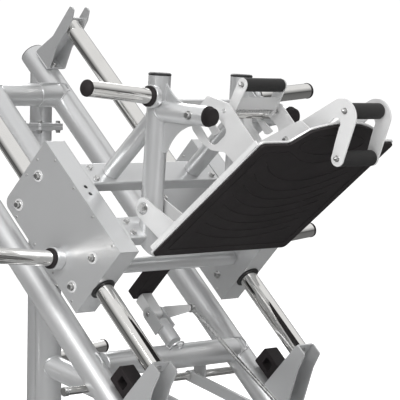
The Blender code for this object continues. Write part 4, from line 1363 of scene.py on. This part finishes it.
@dataclass
class CarriageFrame:
    """Beams between the boxes and the weldment of uprights, braces and stubs."""

    inside: float = 0.2887
    face: float = 0.168
    upright_foot: Vector = point(0, 0.084, 0.790)
    upright_top: Vector = point(0, 0.038, 1.324)
    upright_radius: float = 0.035
    brace_radius: float = 0.0285
    stub_root: Vector = point(0, 0.045, 1.212)
    stub_end: Vector = point(0, -0.170, 1.193)
    stub_radius: float = 0.0315
    lock_bar: Vector = point(0, -0.113, 1.197)

    def build(self) -> None:
        """Make the beams and the weldment."""
        for name, low in (("carriage_beam", 0.361), ("front_beam", 0.130)):
            piece = Piece(f"{name}_tube")
            piece.block(RAIL.lying(low + 0.045, self.face - 0.020),
                    (2 * self.inside, 0.090, 0.040), 0.006, 4)
            piece.finish(PAINT, "carriage", name)
            for side, sign in SIDES:
                SHOP.bolts(f"{name}_bolts_{side}", Fastener.HEX_BOLT,
                        [(RAIL.at(low + s, self.face, sign * 0.262), RAIL.square)
                        for s in (0.022, 0.068)], "carriage")
        self.catch()
        self.uprights()
        for side, sign in SIDES:
            self.caps(side, sign * UPRIGHT_X)

    def catch(self) -> None:
        """Catch tube and the rubber block on it."""
        centre = RAIL.at(0.145, 0.02)
        Piece("catch_tube_pipe").across(centre, self.inside, 0.024).finish(
            PAINT, "carriage", "catch_tube")
        outline = rectangle((0.148, -0.162), (0.186, 0.030), 0.004)
        piece = Piece("catch_rubber")
        piece.cut_plate(RAIL.standing(0, 0, 0), outline, 0.070, (), 0.002)
        piece.finish(RUBBER, "carriage", "catch_block")

    def uprights(self) -> None:
        """Posts, braces, stubs, tie, gussets and beads, all one weldment."""
        piece = Piece("upright_weldment")
        piece.block(Matrix.Translation((0, 0.048, 1.222)), (2 * UPRIGHT_X, 0.050, 0.050), 0.007, 4)
        post_axis = (self.upright_top - self.upright_foot).normalized()
        for _, sign in SIDES:
            shift = ACROSS * sign * UPRIGHT_X
            foot = self.upright_foot + shift
            piece.tube(foot, self.upright_top + shift - post_axis * 0.003, self.upright_radius,
                    RAIL.square)
            low = RAIL.at(0.406, self.face + GAP) + shift
            high = Vector((0, 0.060, 1.190)) + shift
            axis = (high - low).normalized()
            piece.tube(low, high, self.brace_radius, RAIL.square)
            piece.saddle(low, axis, self.brace_radius, foot, post_axis, self.upright_radius)
            root, end = self.stub_root + shift, self.stub_end + shift
            piece.tube(root, end, self.stub_radius)
            piece.saddle(end, root - end, self.stub_radius, foot, post_axis, self.upright_radius)
            self.gussets(piece, sign * UPRIGHT_X)
        piece.finish(PAINT, "carriage", "upright_frame")
        bar = Piece("lock_crossbar")
        bar.across(self.lock_bar, 0.181, 0.011)
        bar.finish(CHROME, "carriage")
        reach = UPRIGHT_X + self.stub_radius - 0.0015
        SHOP.bolts("lock_bar_bolts", Fastener.HEX_BOLT, [(self.lock_bar + ACROSS * sign * reach,
                ACROSS * sign) for _, sign in SIDES], "carriage", 1.2)

    def gussets(self, piece: Piece, x: float) -> None:
        """Hollow-curved plates over and under one stub."""
        place = axes(Vector((x, 0, 0)), Vector((0, 1, 0)), UP)
        upper = [(0.026, 1.300), (0.026, 1.205), (-0.110, 1.213), (-0.128, 1.222)]
        upper += arc((-0.115, 1.362), 0.138, -86, -24, 12)
        lower = [(0.040, 1.200), (-0.120, 1.180), (-0.130, 1.168)]
        lower += arc((-0.118, 1.030), 0.136, 84, 22, 12)
        lower += [(0.040, 1.085)]
        piece.cut_plate(place, upper, 0.006)
        piece.cut_plate(place, lower, 0.006)

    def caps(self, side: str, x: float) -> None:
        """Plastic cap on the post and the ribbed rubber plug in the stub's end."""
        post_axis = (self.upright_top - self.upright_foot).normalized()
        cap = Piece(f"upright_cap_{side}")
        radius = self.upright_radius
        cap.lathe(self.upright_top + ACROSS * x - post_axis * 0.003, post_axis, [
            (0, -0.004), (radius - 0.004, -0.004), (radius + 0.0006, -0.0002),
            (radius + 0.0006, 0.0045), (radius - 0.003, 0.0075), (0, 0.008)])
        cap.finish(PLASTIC, "carriage")
        end = self.stub_end + ACROSS * x
        axis = (self.stub_end - self.stub_root).normalized()
        profile = [(0, -0.004), (0.029, -0.004), (0.0318, 0.0), (0.0318, 0.004)]
        for i in range(4):
            level = 0.005 + i * 0.0045
            profile += [(0.030 - i * 0.0012, level), (0.030 - i * 0.0012, level + 0.0022),
                    (0.027 - i * 0.0012, level + 0.0028), (0.027 - i * 0.0012, level + 0.0040)]
        profile += [(0.018, 0.0235), (0, 0.0240)]
        Piece(f"stub_buffer_{side}").lathe(end - axis * 0.0030, axis, [
            (r, h) for r, h in profile]).finish(RUBBER, "carriage")


# ---------------------------------------------------------------- footplate
@dataclass
class Footplate:
    """Tray with its pivot lugs, the moulded mat, the slotted tilt plates and the hooks."""

    half_width: float = 0.306
    length: float = 0.572
    thickness: float = 0.006
    rise: float = 0.062
    crown: float = 0.094
    half_crown: float = 0.146
    shoulder: float = 0.187
    mat_depth: float = 0.010
    pivot: Vector = point(0, 0.071, 0.91)
    lock_bar: Vector = point(0, -0.113, 1.197)
    handle: Vector = point(0, -0.172, 1.210)
    upper_foam: Point2 = (0.725, -0.002)
    lower_foam: Point2 = (0.6175, -0.0955)
    hook_x: float = 0.080
    tilt_x: float = 0.120

    def build(self) -> None:
        """Make the tray, the mat, the plates behind and the foam rollers."""
        self.tray()
        self.mat()
        self.hooks()
        self.bolts()
        for name, place in (("upper", self.upper_foam), ("lower", self.lower_foam)):
            self.foam_roller(name, place)

    def outline(self, inset: float = 0.0, corner: float = 0.016) -> list[Point2]:
        """Edge of the footplate, with its crowned top.

        Args:
            inset: How far inside the tray's edge.
            corner: Radius of the lower corners and the shoulders.

        Returns:
            The outline across and up the plate.
        """
        half, top = self.half_width - inset, self.length - inset
        crown, rise = self.crown, self.rise
        radius = (self.half_crown ** 2 + (crown - rise) ** 2) / (2 * (crown - rise))
        spread = math.degrees(math.asin(self.half_crown / radius))
        lower = rectangle((half - 0.1, inset), (half, top), corner, 6)
        side = lower[7:21]
        crest = arc((0, top + crown - radius), radius, 90 - spread, 90, 16)[:-1]
        shoulder = self.shoulder - inset * 0.4
        right = side + [(shoulder + 0.004, top), (shoulder - 0.004, top + 0.005)] + crest
        return mirrored(right)

    def tray(self) -> None:
        """Folded tray with lugs round the uprights and the slotted plates behind it."""
        piece = Piece("footplate_tray_plate")
        piece.cut_plate(TREAD.lying(0, self.thickness / 2), self.outline(), self.thickness)
        for _, sign in SIDES:
            piece.block(TREAD.lying(self.length / 2, 0.010, sign * (self.half_width - 0.003)),
                    (0.006, self.length - 0.034, 0.020), 0.0015)
        pivot = TREAD.local(self.pivot)
        lug = [(0.012, 0.003), (0.105, 0.003)] + arc(pivot, 0.034, 50, 200)
        for _, sign in SIDES:
            for reach in (-0.0385, 0.0385):
                piece.cut_plate(TREAD.standing(0, 0, sign * UPRIGHT_X + reach), lug, 0.006,
                        [hole(pivot, 0.0105)])
            piece.cut_plate(TREAD.standing(0, 0, sign * self.tilt_x), self.tilt_outline(), 0.006,
                    [self.slot(), hole(TREAD.local(self.handle), 0.0073)])
            for side_x in (-0.0042, 0.0042):
                x = sign * self.tilt_x + side_x
                piece.sweep([TREAD.at(s, self.thickness + 0.0005, x)
                        for s in (0.295, 0.37, 0.45, 0.53, 0.614)], BEAD * 0.8)
        piece.finish(PLATE, "footplate_tray", "footplate")

    def tilt_outline(self) -> list[Point2]:
        """Edge of a slotted tilt plate."""
        edge = self.thickness / 2
        return rounded([(0.285, edge), (0.620, edge), (0.600, 0.060), (0.415, 0.110),
                (0.400, 0.272), (0.345, 0.345), (0.245, 0.335), (0.230, 0.298), (0.235, 0.248),
                (0.256, 0.202), (0.296, 0.164), (0.308, 0.120)], 0.012)

    def slot(self) -> list[Point2]:
        """Curved slot round the tilt axis that the lock bar runs in."""
        pivot, bar = TREAD.local(self.pivot), TREAD.local(self.lock_bar)
        reach = math.hypot(bar[0] - pivot[0], bar[1] - pivot[1])
        high = math.degrees(math.atan2(bar[1] - pivot[1], bar[0] - pivot[0]))
        low, half = high - 11, 0.0125
        end = arc(pivot, reach, high, high, 1)[0]
        hook = ([(0.304, 0.2275), (0.294, 0.2315), (0.2885, 0.238)]
                + arc((0.2755, 0.294), 0.0125, 0, 180) + arc((0.291, 0.2305), 0.027, 164, 270)
                + arc((0.3245, 0.2235), 0.020, 270, 372))
        return (arc(pivot, reach + half, low, high) + arc(end, half, high, high + 180)[1:-1]
                + arc(pivot, reach - half, high, low) + hook)

    def mat(self) -> None:
        """Rubber mat with a raised rim, an inset line, curved ribs and an oval."""
        level = -GAP - self.mat_depth / 2
        front = -GAP - self.mat_depth
        piece = Piece("footplate_mat_sheet")
        piece.cut_plate(TREAD.lying(0, level), self.outline(0.004), self.mat_depth, (), 0.003)
        piece.finish(RUBBER, "footplate_tray", "footplate_mat")
        lines = [self.smile(low)
                 for low in (0.386, 0.335, 0.290, 0.246, 0.205, 0.165, 0.125, 0.084)]
        oval = [(0.140 * math.cos(a), 0.570 + 0.049 * math.sin(a))
                for a in (2 * math.pi * i / 48 for i in range(49))]
        border = self.outline(0.038, 0.010)
        half = [p for p in border if p[0] > 0 and p[1] < 0.55]
        dip = [(0.150, 0.530), (0.122, 0.516), (0.080, 0.494), (0.035, 0.481), (0.0, 0.477)]
        right = half + dip
        frame_line = right + [(-u, v) for u, v in reversed(right[:-1])] + [right[0]]
        places = [[TREAD.at(v, front + 0.0002, u) for u, v in line]
                for line in (*lines, oval, frame_line)]
        SHOP.ribs("footplate_mat_ribs", places, 0.0016, RUBBER, "footplate_tray")

    def smile(self, low: float) -> list[Point2]:
        """One curved rib, whose middle is at a height up the mat."""
        wide, lift = 0.215, 0.100 if low > 0.35 else 0.045 + (low - 0.084) * 0.18
        return [(wide * t, low + lift * abs(t) ** 2.1) for t in (i / 14 - 1 for i in range(29))]

    def hooks(self) -> None:
        """Two cane-shaped plates that hook over the mat's top edge."""
        edge = self.thickness + GAP
        outline = ([(0.240, edge), (0.668, edge)] + arc((0.676, -0.010), 0.017, 95, -80)
                + [(0.640, -0.052)] + arc(self.lower_foam, 0.023, 110, 300)
                + arc((0.702, -0.008), 0.056, -48, 78, 20) + [(0.560, 0.078), (0.260, 0.060)])
        holes = [hole(self.upper_foam, 0.0073), hole(self.lower_foam, 0.0073)]
        for side, sign in SIDES:
            Piece(f"hook_arm_{side}").cut_plate(
                TREAD.standing(0, 0, sign * self.hook_x), outline, 0.006, holes).finish(
                PLATE, "footplate_tray", f"hook_plate_{side}")

    def bolts(self) -> None:
        """Pivot bolts in the lugs, spacers between the plates and nuts on the rollers."""
        for side, sign in SIDES:
            outer = self.pivot + ACROSS * sign * (UPRIGHT_X + 0.0415)
            SHOP.bolts(f"pivot_bolt_{side}", Fastener.HEAVY_BOLT, [(outer, ACROSS * sign)],
                    "footplate_tray")
            inner = self.pivot + ACROSS * sign * (UPRIGHT_X - 0.0415)
            SHOP.bolts(f"pivot_nut_{side}", Fastener.HEAVY_BOLT, [(inner, -ACROSS * sign)],
                    "footplate_tray")
            places = [TREAD.at(*self.upper_foam, sign * (self.hook_x + 0.003)),
                    TREAD.at(*self.lower_foam, sign * (self.hook_x + 0.003))]
            SHOP.bolts(f"roller_nuts_{side}", Fastener.DOME_NUT,
                    [(place, ACROSS * sign) for place in places], "footplate_tray")
            bush = Piece(f"plate_spacers_{side}")
            spots = []
            for up, behind in ((0.330, 0.050), (0.520, 0.045)):
                start = TREAD.at(up, behind, sign * (self.hook_x + 0.0031))
                bush.lathe(start, ACROSS * sign, [(0, 0), (0.013, 0), (0.013, 0.0336),
                        (0, 0.0336)], sides=SMALL_ROUND)
                spots.append((TREAD.at(up, behind, sign * (self.tilt_x + 0.003)), ACROSS * sign))
                spots.append((TREAD.at(up, behind, sign * (self.hook_x - 0.003)), -ACROSS * sign))
            bush.finish(PLASTIC, "footplate_tray")
            SHOP.bolts(f"spacer_bolts_{side}", Fastener.HEX_BOLT, spots, "footplate_tray")

    def foam_roller(self, name: str, place: Point2) -> None:
        """Foam sleeve on its steel core."""
        half = self.hook_x - 0.004
        centre = TREAD.at(*place)
        foam = Piece(f"foam_sleeve_{name}")
        foam.lathe(centre, ACROSS, [
            (0.0071, half), (0.018, half), (0.0225, half - 0.0015), (0.024, half - 0.005),
            (0.024, 0.005 - half), (0.0225, 0.0015 - half), (0.018, -half), (0.0071, -half)], True)
        foam.finish(FOAM, f"foam_{name}", f"foam_roller_{name}")
        core = Piece(f"foam_core_{name}")
        core.across(centre, 0.0829, 0.007, sides=SMALL_ROUND)
        core.finish(ZINC, f"foam_{name}")


@dataclass
class TiltHandle:
    """Sprung handle on the tilt plates, with a foam grip between two ears."""

    pivot: Vector = point(0, -0.172, 1.210)
    grip: Vector = point(0, -0.219, 1.290)
    ear_x: float = 0.090

    def build(self) -> None:
        """Make the handle and its grip."""
        reach = self.grip - self.pivot
        piece = Piece("tilt_handle_ears")
        ear = arc((reach.length, 0), 0.020, 90, -90) + arc((0, 0), 0.017, -90, -270)
        for _, sign in SIDES:
            place = axes(self.pivot + ACROSS * sign * self.ear_x, reach, ACROSS.cross(reach))
            piece.cut_plate(place, ear, 0.005)
        fold = axes(self.pivot + reach * 0.38 + ACROSS.cross(reach).normalized() * 0.013, ACROSS,
                reach)
        piece.cut_plate(fold, rectangle((-0.088, -0.022), (0.088, 0.022), 0.003), 0.003)
        piece.finish(PLATE, "tilt_handle_body", "tilt_handle")
        pins = Piece("tilt_handle_pins")
        pins.across(self.pivot, 0.1225, 0.007, sides=SMALL_ROUND)
        pins.across(self.grip, 0.0919, 0.008, sides=SMALL_ROUND)
        pins.finish(ZINC, "tilt_handle_body")
        spots = [(self.grip + ACROSS * sign * (self.ear_x + 0.0025), ACROSS * sign) for _,
                sign in SIDES]
        SHOP.bolts("tilt_handle_nuts", Fastener.DOME_NUT, spots, "tilt_handle_body")
        half = 0.0865
        sleeve = [(0.0081, half), (0.016, half), (0.0195, half - 0.001), (0.021, half - 0.004),
                (0.021, 0.004 - half), (0.0195, 0.001 - half), (0.016, -half), (0.0081, -half)]
        Piece("tilt_handle_sleeve").lathe(self.grip, ACROSS, sleeve, True).finish(
            FOAM, "tilt_handle_body", "tilt_handle_grip")


# ---------------------------------------------------------------- seat
@dataclass
class Pad:
    """A stuffed pad on a board, with piping and a stitched seam."""

    name: str
    node: str
    body: str
    place: Matrix
    width: float
    length: float
    depth: float
    corner: float = 0.050
    board: float = 0.012
    shrink: float = 0.009
    voxel: float = 0.006
    cap: float = 0.011
    crown: float = 0.006
    pressure: float = 4.0
    frames: int = 20

    def build(self) -> None:
        """Make the board, the stuffed cover, the piping and the stitches."""
        self.cover()
        base = Piece(f"{self.name}_board")
        level = self.board / 2 - self.depth / 2
        base.cut_plate(self.place @ Matrix.Translation((0, 0, level)), self.edge(0.008),
                self.board, (), 0.002)
        base.finish(PLASTIC, self.body)
        seam = self.board - self.depth / 2
        piping = Piece(f"{self.name}_piping")
        loops = []
        for level, inset in ((seam + 0.003, 0.0035), (self.depth / 2 - 0.016, 0.0035)):
            ring = [self.place @ Vector((u, v, level)) for u, v in self.edge(inset)]
            piping.sweep(ring, 0.0026, True, 8)
            loops.append(ring)
        piping.finish(VINYL, self.body)
        sewn = [self.place @ Vector((u, v, self.depth / 2 - 0.0225)) for u, v in self.edge(0.0012)]
        SHOP.stitches(f"{self.name}_stitches", [sewn + sewn[:1]], self.body)

    def edge(self, inset: float) -> list[Point2]:
        """Outline of the pad, set in from its full size."""
        u, v = self.width / 2 - inset, self.length / 2 - inset
        return rectangle((-u, -v), (u, v), self.corner - inset, 10)

    def cover(self) -> None:
        """Cloth cover blown up round its stuffing."""
        piece = Piece(f"{self.name}_cover")
        thick = self.depth - self.board - self.shrink
        level = self.board - self.depth / 2 + thick / 2
        piece.cut_plate(self.place @ Matrix.Translation((0, 0, level)), self.edge(self.shrink),
                thick, (), 0.012)
        mesh = bpy.data.meshes.new(f"{self.name}_cover")
        bmesh.ops.recalc_face_normals(piece.shape, faces=piece.shape.faces)
        piece.shape.to_mesh(mesh)
        piece.shape.free()
        item = placed(f"{self.name}_cover", mesh)
        remesh = item.modifiers.new("remesh", "REMESH")
        remesh.mode = "VOXEL"
        remesh.voxel_size = self.voxel
        item = self.bake(item)
        item = self.inflate(item)
        subdivision = item.modifiers.new("smooth", "SUBSURF")
        subdivision.levels = subdivision.render_levels = 1
        item.data.shade_smooth()
        dress(item, VINYL, self.body, self.node)

    def bake(self, item: bpy.types.Object) -> bpy.types.Object:
        """Apply an object's modifiers."""
        mesh = finished_mesh(item)
        item.modifiers.clear()
        item.data = mesh
        mesh.name = item.name
        return item

    def inflate(self, item: bpy.types.Object) -> bpy.types.Object:
        """Run the cloth under pressure, then hold each point within the cap."""
        rest = [vertex.co.copy() for vertex in item.data.vertices]
        cloth = item.modifiers.new("cloth", "CLOTH")
        cloth.settings.use_pressure = True
        cloth.settings.uniform_pressure_force = self.pressure
        cloth.settings.effector_weights.gravity = 0
        cloth.point_cache.frame_start, cloth.point_cache.frame_end = 1, self.frames
        for step in range(1, self.frames + 1):
            bpy.context.scene.frame_set(step)
        item = self.bake(item)
        bpy.context.scene.frame_set(1)
        down = self.place.to_3x3() @ UP
        floor = (self.place @ Vector((0, 0, self.board - self.depth / 2))).dot(down)
        for vertex, old in zip(item.data.vertices, rest):
            move = vertex.co - old
            if move.length > self.cap:
                move = move.normalized() * self.cap
            vertex.co = old + move
            lift = floor - vertex.co.dot(down)
            if lift > 0:
                vertex.co += down * lift
        return item


@dataclass
class Seat:
    """Seat post with its deck and recline sector, the back frame and both pads."""

    hinge: Vector = point(0, -0.93, 0.20)
    tilt: float = math.radians(8)
    post: Vector = point(0, -0.75, 0.210)
    base_top: float = 0.0946

    def build(self) -> None:
        """Make the seat, the backrest and their pads."""
        self.carrier()
        self.back_frame()
        self.knob()
        turn = Matrix.Rotation(self.tilt, 4, "X")
        Pad("seat_cushion", "seat_pad", "frame", Matrix.Translation((0, -0.693, 0.262)) @ turn,
            0.400, 0.400, 0.070).build()
        lean = axes(BACK.at(0.345, -0.0635), -ACROSS, BACK.along)
        Pad("back_cushion", "backrest_pad", "backrest", lean, 0.380, 0.580, 0.070).build()

    def carrier(self) -> None:
        """Post with sole, deck, strut, hinge tube and the recline sector."""
        piece = Piece("seat_post")
        middle = (self.base_top + self.post.z) / 2
        piece.block(Matrix.Translation((0, self.post.y, middle)),
                (0.060, 0.080, self.post.z - self.base_top), 0.006, 4)
        piece.block(Matrix.Translation((0, self.post.y, self.base_top + 0.0043)),
                (0.120, 0.150, 0.008), 0.002)
        deck = Matrix.Translation((0, -0.73, 0.2155)) @ Matrix.Rotation(self.tilt, 4, "X")
        piece.block(deck, (0.300, 0.300, 0.010), 0.003)
        piece.tube(Vector((0, self.post.y, 0.135)), self.hinge + Vector((0, 0.005, -0.005)), 0.016)
        piece.lathe(self.hinge - ACROSS * 0.034, ACROSS, [
            (PIN_BORE, 0), (0.0190, 0), (0.020, 0.001), (0.020, 0.067), (0.0190, 0.068),
            (PIN_BORE, 0.068)], True)
        sector = arc((0, 0), 0.135, 20, 64) + arc((0, 0), 0.030, 90, 330)
        place = axes(self.hinge + ACROSS * 0.046, Vector((0, -1, 0)), UP)
        piece.cut_plate(place, sector, 0.006, [hole((0, 0), PIN_BORE)])
        piece.block(Matrix.Translation(self.hinge + Vector((0.032, 0.070, -0.033))),
                (0.034, 0.099, 0.040), 0.003)
        piece.finish(PAINT, "frame", "seat_carrier")
        corners = [Vector((u * 0.046, self.post.y + v * 0.058, self.base_top + PIN_BORE))
                for u in (-1, 1) for v in (-1, 1)]
        SHOP.bolts("seat_sole_bolts", Fastener.HEX_BOLT, [(c, UP) for c in corners], "frame", 0.8)

    def back_frame(self) -> None:
        """Back bar with its ears, bridge, pad bars and pin housing."""
        piece = Piece("back_bar")
        piece.block(BACK.lying(0.3412, 0), (0.050, 0.580, 0.040), 0.006, 4)
        ear = [(0.110, -0.018), (0.110, 0.018)] + arc((0, 0), 0.018, 90, 270)
        for sign in (-1, 1):
            piece.cut_plate(BACK.standing(0, 0, sign * 0.0385), ear, 0.007)
        piece.block(BACK.lying(0.090, 0), (0.084, 0.040, 0.036), 0.002)
        for up in (0.240, 0.560):
            piece.block(BACK.lying(up, -0.0225), (0.300, 0.050, 0.010), 0.002)
        piece.block(BACK.lying(0.1052, 0.033, 0.027), (0.030, 0.036, 0.042), 0.003)
        piece.finish(PAINT, "backrest", "back_frame")
        pin = Piece("back_hinge_pin")
        pin.across(self.hinge, 0.062, 0.008, sides=SMALL_ROUND)
        pin.finish(ZINC, "backrest")
        SHOP.bolts("pad_bar_bolts", Fastener.HEX_BOLT, [
            (BACK.at(up, -0.0175, x), BACK.square) for up in (0.240, 0.560)
            for x in (-0.125, 0.125)], "backrest", 0.8)
        plug = Piece("back_bar_plug")
        plug.block(BACK.lying(0.6310, 0), (0.044, 0.004, 0.034), 0.001)
        plug.finish(PLASTIC, "backrest")

    def knob(self) -> None:
        """Clamp knob and its shank, whose tip bears on the sector."""
        start = BACK.at(0.1052, 0.0383, 0.0117)
        knob = Piece("recline_knob_grip")
        knob.lathe(start, -ACROSS, [
            (0, 0.040), (0.011, 0.0398), (0.0150, 0.037), (0.016, 0.034), (0.0150, 0.030),
            (0.0155, 0.024), (0.016, 0.020), (0.013, 0.018), (0, 0.018)])
        knob.finish(PLASTIC, "clamp_knob", "recline_knob")
        shank = Piece("recline_knob_shank")
        shank.lathe(start, -ACROSS, [(0, 0.0185), (0.010, 0.0185), (0.010, 0.0), (0.0055, 0.0),
                (0.0055, -0.029), (0.004, -0.0308), (0, -0.0308)])
        shank.finish(ZINC, "clamp_knob")


# ---------------------------------------------------------------- lock
@dataclass
class Lock:
    """Shaft with two cranked levers, the push rod and the swinging stop."""

    shaft: Vector = point(0, -0.19, 0.235)
    bend: Vector = point(0, -0.500, 0.280)
    tip: Vector = point(0, -0.680, 0.345)
    crank: Vector = point(0, -0.10, 0.02)
    lever_x: float = 0.298
    crank_x: float = 0.0535
    link_x: float = 0.068
    stop: Point2 = (0.075, -0.150)

    def build(self) -> None:
        """Make the shaft, the levers, the link and the stop."""
        self.levers()
        self.link()
        self.stop_arm()

    def crank_plate(self, piece: Piece, pivot: Vector) -> None:
        """Flat lever from a shaft to its link pin."""
        reach = self.crank.length
        outline = arc((reach, 0), 0.012, 90, -90) + arc((0, 0), 0.020, -90, -270)
        place = axes(pivot + ACROSS * self.crank_x, self.crank, ACROSS.cross(self.crank))
        piece.cut_plate(place, outline, 0.006)

    def levers(self) -> None:
        """Bent levers on the shaft, each with a foam grip."""
        piece = Piece("lock_lever_shaft")
        piece.across(self.shaft, 0.312, 0.0125)
        first = (self.bend - self.shaft).normalized()
        last = (self.tip - self.bend).normalized()
        reach = 0.045
        for side, sign in SIDES:
            x = ACROSS * sign * self.lever_x
            ends = self.bend - first * reach, self.bend + last * reach
            corner = [ends[0].lerp(self.bend, t).lerp(self.bend.lerp(ends[1], t), t)
                    for t in (i / 10 for i in range(11))]
            path = [self.shaft, self.shaft + first * 0.1, *corner, self.tip]
            piece.sweep([point + x for point in path], 0.0130, False, SMALL_ROUND)
            grip = Piece(f"lock_foam_{side}")
            profile = [(0, 0.0039), (0.013, 0.0036), (0.0175, 0.001), (0.019, -0.003),
                    (0.019, -0.115), (0.0175, -0.118), (0.0131, -0.118), (0.0131, -GAP), (0, -GAP)]
            grip.lathe(self.tip + x + last * 0.0006, last, profile)
            grip.finish(FOAM, "lock_lever", f"lock_grip_{side}")
        self.crank_plate(piece, self.shaft)
        end = self.shaft + self.crank
        piece.tube(end + ACROSS * 0.052, end + ACROSS * 0.078, 0.006, sides=SMALL_ROUND)
        piece.finish(CHROME, "lock_lever", "lock_shaft")

    def link(self) -> None:
        """Push rod with an eye at each end."""
        near = self.shaft + self.crank + ACROSS * self.link_x
        far = RAIL.at(*self.stop) + self.crank + ACROSS * self.link_x
        axis = (far - near).normalized()
        piece = Piece("push_rod_bar")
        piece.tube(near + axis * 0.012, far - axis * 0.012, 0.007, sides=SMALL_ROUND)
        for place, bore in ((near, 0.0063), (far, 0.0085)):
            piece.lathe(place - ACROSS * 0.006, ACROSS, [(bore, 0), (0.0145, 0), (0.015, 0.001),
                    (0.015, 0.011), (0.0145, 0.012), (bore, 0.012)], True, SMALL_ROUND)
        piece.finish(ZINC, "push_rod", "stop_link")

    def stop_arm(self) -> None:
        """Stop that the catch block rests on, with its pin and crank."""
        pivot = RAIL.at(*self.stop)
        outline = arc((0, 0), 0.0727, -16, 16) + arc((0, 0), 0.018, 90, 270)
        piece = Piece("stop_arm_block")
        piece.cut_plate(RAIL.standing(*self.stop, 0), outline, 0.044, (), 0.002)
        self.crank_plate(piece, pivot)
        piece.finish(PLATE, "stop", "stop_arm")
        pins = Piece("stop_pins")
        pins.tube(pivot - ACROSS * 0.034, pivot + ACROSS * 0.056, 0.008, sides=SMALL_ROUND)
        end = pivot + self.crank
        pins.tube(end + ACROSS * 0.052, end + ACROSS * 0.078, 0.006, sides=SMALL_ROUND)
        pins.finish(ZINC, "stop")


# ---------------------------------------------------------------- studio
@dataclass
class Studio:
    """Pale floor, soft lights and the camera."""

    camera_place: Vector = point(-4.762, -4.501, 1.20)
    heading: float = math.radians(46.33)
    pitch: float = math.radians(2.35)
    lens: float = 187.8
    floor_size: float = 60.0
    floor_tone: float = 0.90
    floor_glow: float = 0.45
    painted_floor_reflection: float = 0.16
    sky_tones: tuple[Point2, Point2] = ((0.0, 0.05), (0.60, 0.85))
    seen_white: float = 1.05

    def build(self) -> None:
        """Make the floor, the lights and the camera."""
        self.floor()
        self.sky()
        self.light("key_panel", Vector((-4.8, -2.0, 3.6)), 2.6, 165)
        self.light("fill_panel", Vector((-2.0, -5.0, 3.0)), 2.2, 50)
        self.light("rear_panel", Vector((2.6, 3.4, 4.4)), 2.6, 90)
        self.camera()
        bpy.context.scene.view_settings.view_transform = "Standard"

    def floor(self) -> None:
        """Plain pale floor; what the metal mirrors of it is a painted dark grey reflection."""
        half = self.floor_size / 2
        mesh = bpy.data.meshes.new("studio_floor")
        mesh.from_pydata([(-half, -half, 0), (half, -half, 0), (half, half, 0), (-half, half, 0)],
                [], [(0, 1, 2, 3)])
        floor = placed("studio_floor", mesh)
        graph = Graph(bpy.data.materials.new("pale_floor"))
        tone = graph.noise(2.0) * 0.02 + self.floor_tone
        graph.feed(graph.shader, {"Roughness": 0.9, "Base Color": tone,
                "Emission Color": (1, 1, 1, 1), "Emission Strength": self.floor_glow})
        # Painted reflection: glossy rays meet a dark grey diffuse shader in place of the pale
        # floor.
        dull = graph.node("ShaderNodeBsdfDiffuse", {}, {"Color": (*[self.painted_floor_reflection] * 3, 1)})
        graph.split("Is Glossy Ray", graph.shader, dull)
        mesh.materials.append(graph.owner)
        floor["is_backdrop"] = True

    def sky(self) -> None:
        """White surroundings, darker low down for what the metal mirrors."""
        world = bpy.data.worlds.new("studio")
        bpy.context.scene.world = world
        graph = Graph(world, "Generated")
        parts = graph.node("ShaderNodeSeparateXYZ", {}, {0: graph.place})
        height = Wire(graph, parts.outputs["Z"])
        mirrored_sky = graph.node("ShaderNodeBackground", {}, {
            "Color": graph.ramp(height, self.sky_tones)})
        seen_sky = graph.node("ShaderNodeBackground", {}, {
            "Color": (1, 1, 1, 1), "Strength": self.seen_white})
        graph.split("Is Camera Ray", mirrored_sky, seen_sky)

    def light(self, name: str, place: Vector, size: float, power: float) -> None:
        """Soft square panel that looks at the middle of the machine."""
        data = bpy.data.lights.new(name, "AREA")
        data.shape = "SQUARE"
        data.size = size
        data.energy = power
        lamp = placed(name, data)
        aim = Vector((0, 0.1, 0.9)) - place
        lamp.matrix_world = (Matrix.Translation(place) @ aim.to_track_quat("-Z",
                "Y").to_matrix().to_4x4())

    def camera(self) -> None:
        """Camera at the angle that the machine is seen from."""
        sight = Vector((math.sin(self.heading) * math.cos(self.pitch),
                math.cos(self.heading) * math.cos(self.pitch), -math.sin(self.pitch)))
        right = Vector((math.cos(self.heading), -math.sin(self.heading), 0))
        data = bpy.data.cameras.new("camera")
        data.lens = self.lens
        data.sensor_width = 36
        data.clip_end = 200
        camera = placed("camera", data)
        camera.matrix_world = axes(self.camera_place, right, right.cross(sight))
        bpy.context.scene.camera = camera


def main() -> None:
    """Build the machine and its studio in order."""
    logging.basicConfig(level=logging.INFO, format="%(message)s")
    Studio().build()
    for assembly in (Rails(), RearFrame(), FloorFrame(), WeightPegs(), SideBoxes(),
            CarriageFrame(), Footplate(), TiltHandle(), Seat(), Lock()):
        assembly.build()
        LOG.info("%s is built", type(assembly).__name__)
    SHOP.close()
    boxes = [[list(map(float, corner)) for corner in box] for box in (CAD_BOX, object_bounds())]


if __name__ == "__main__":
    main()
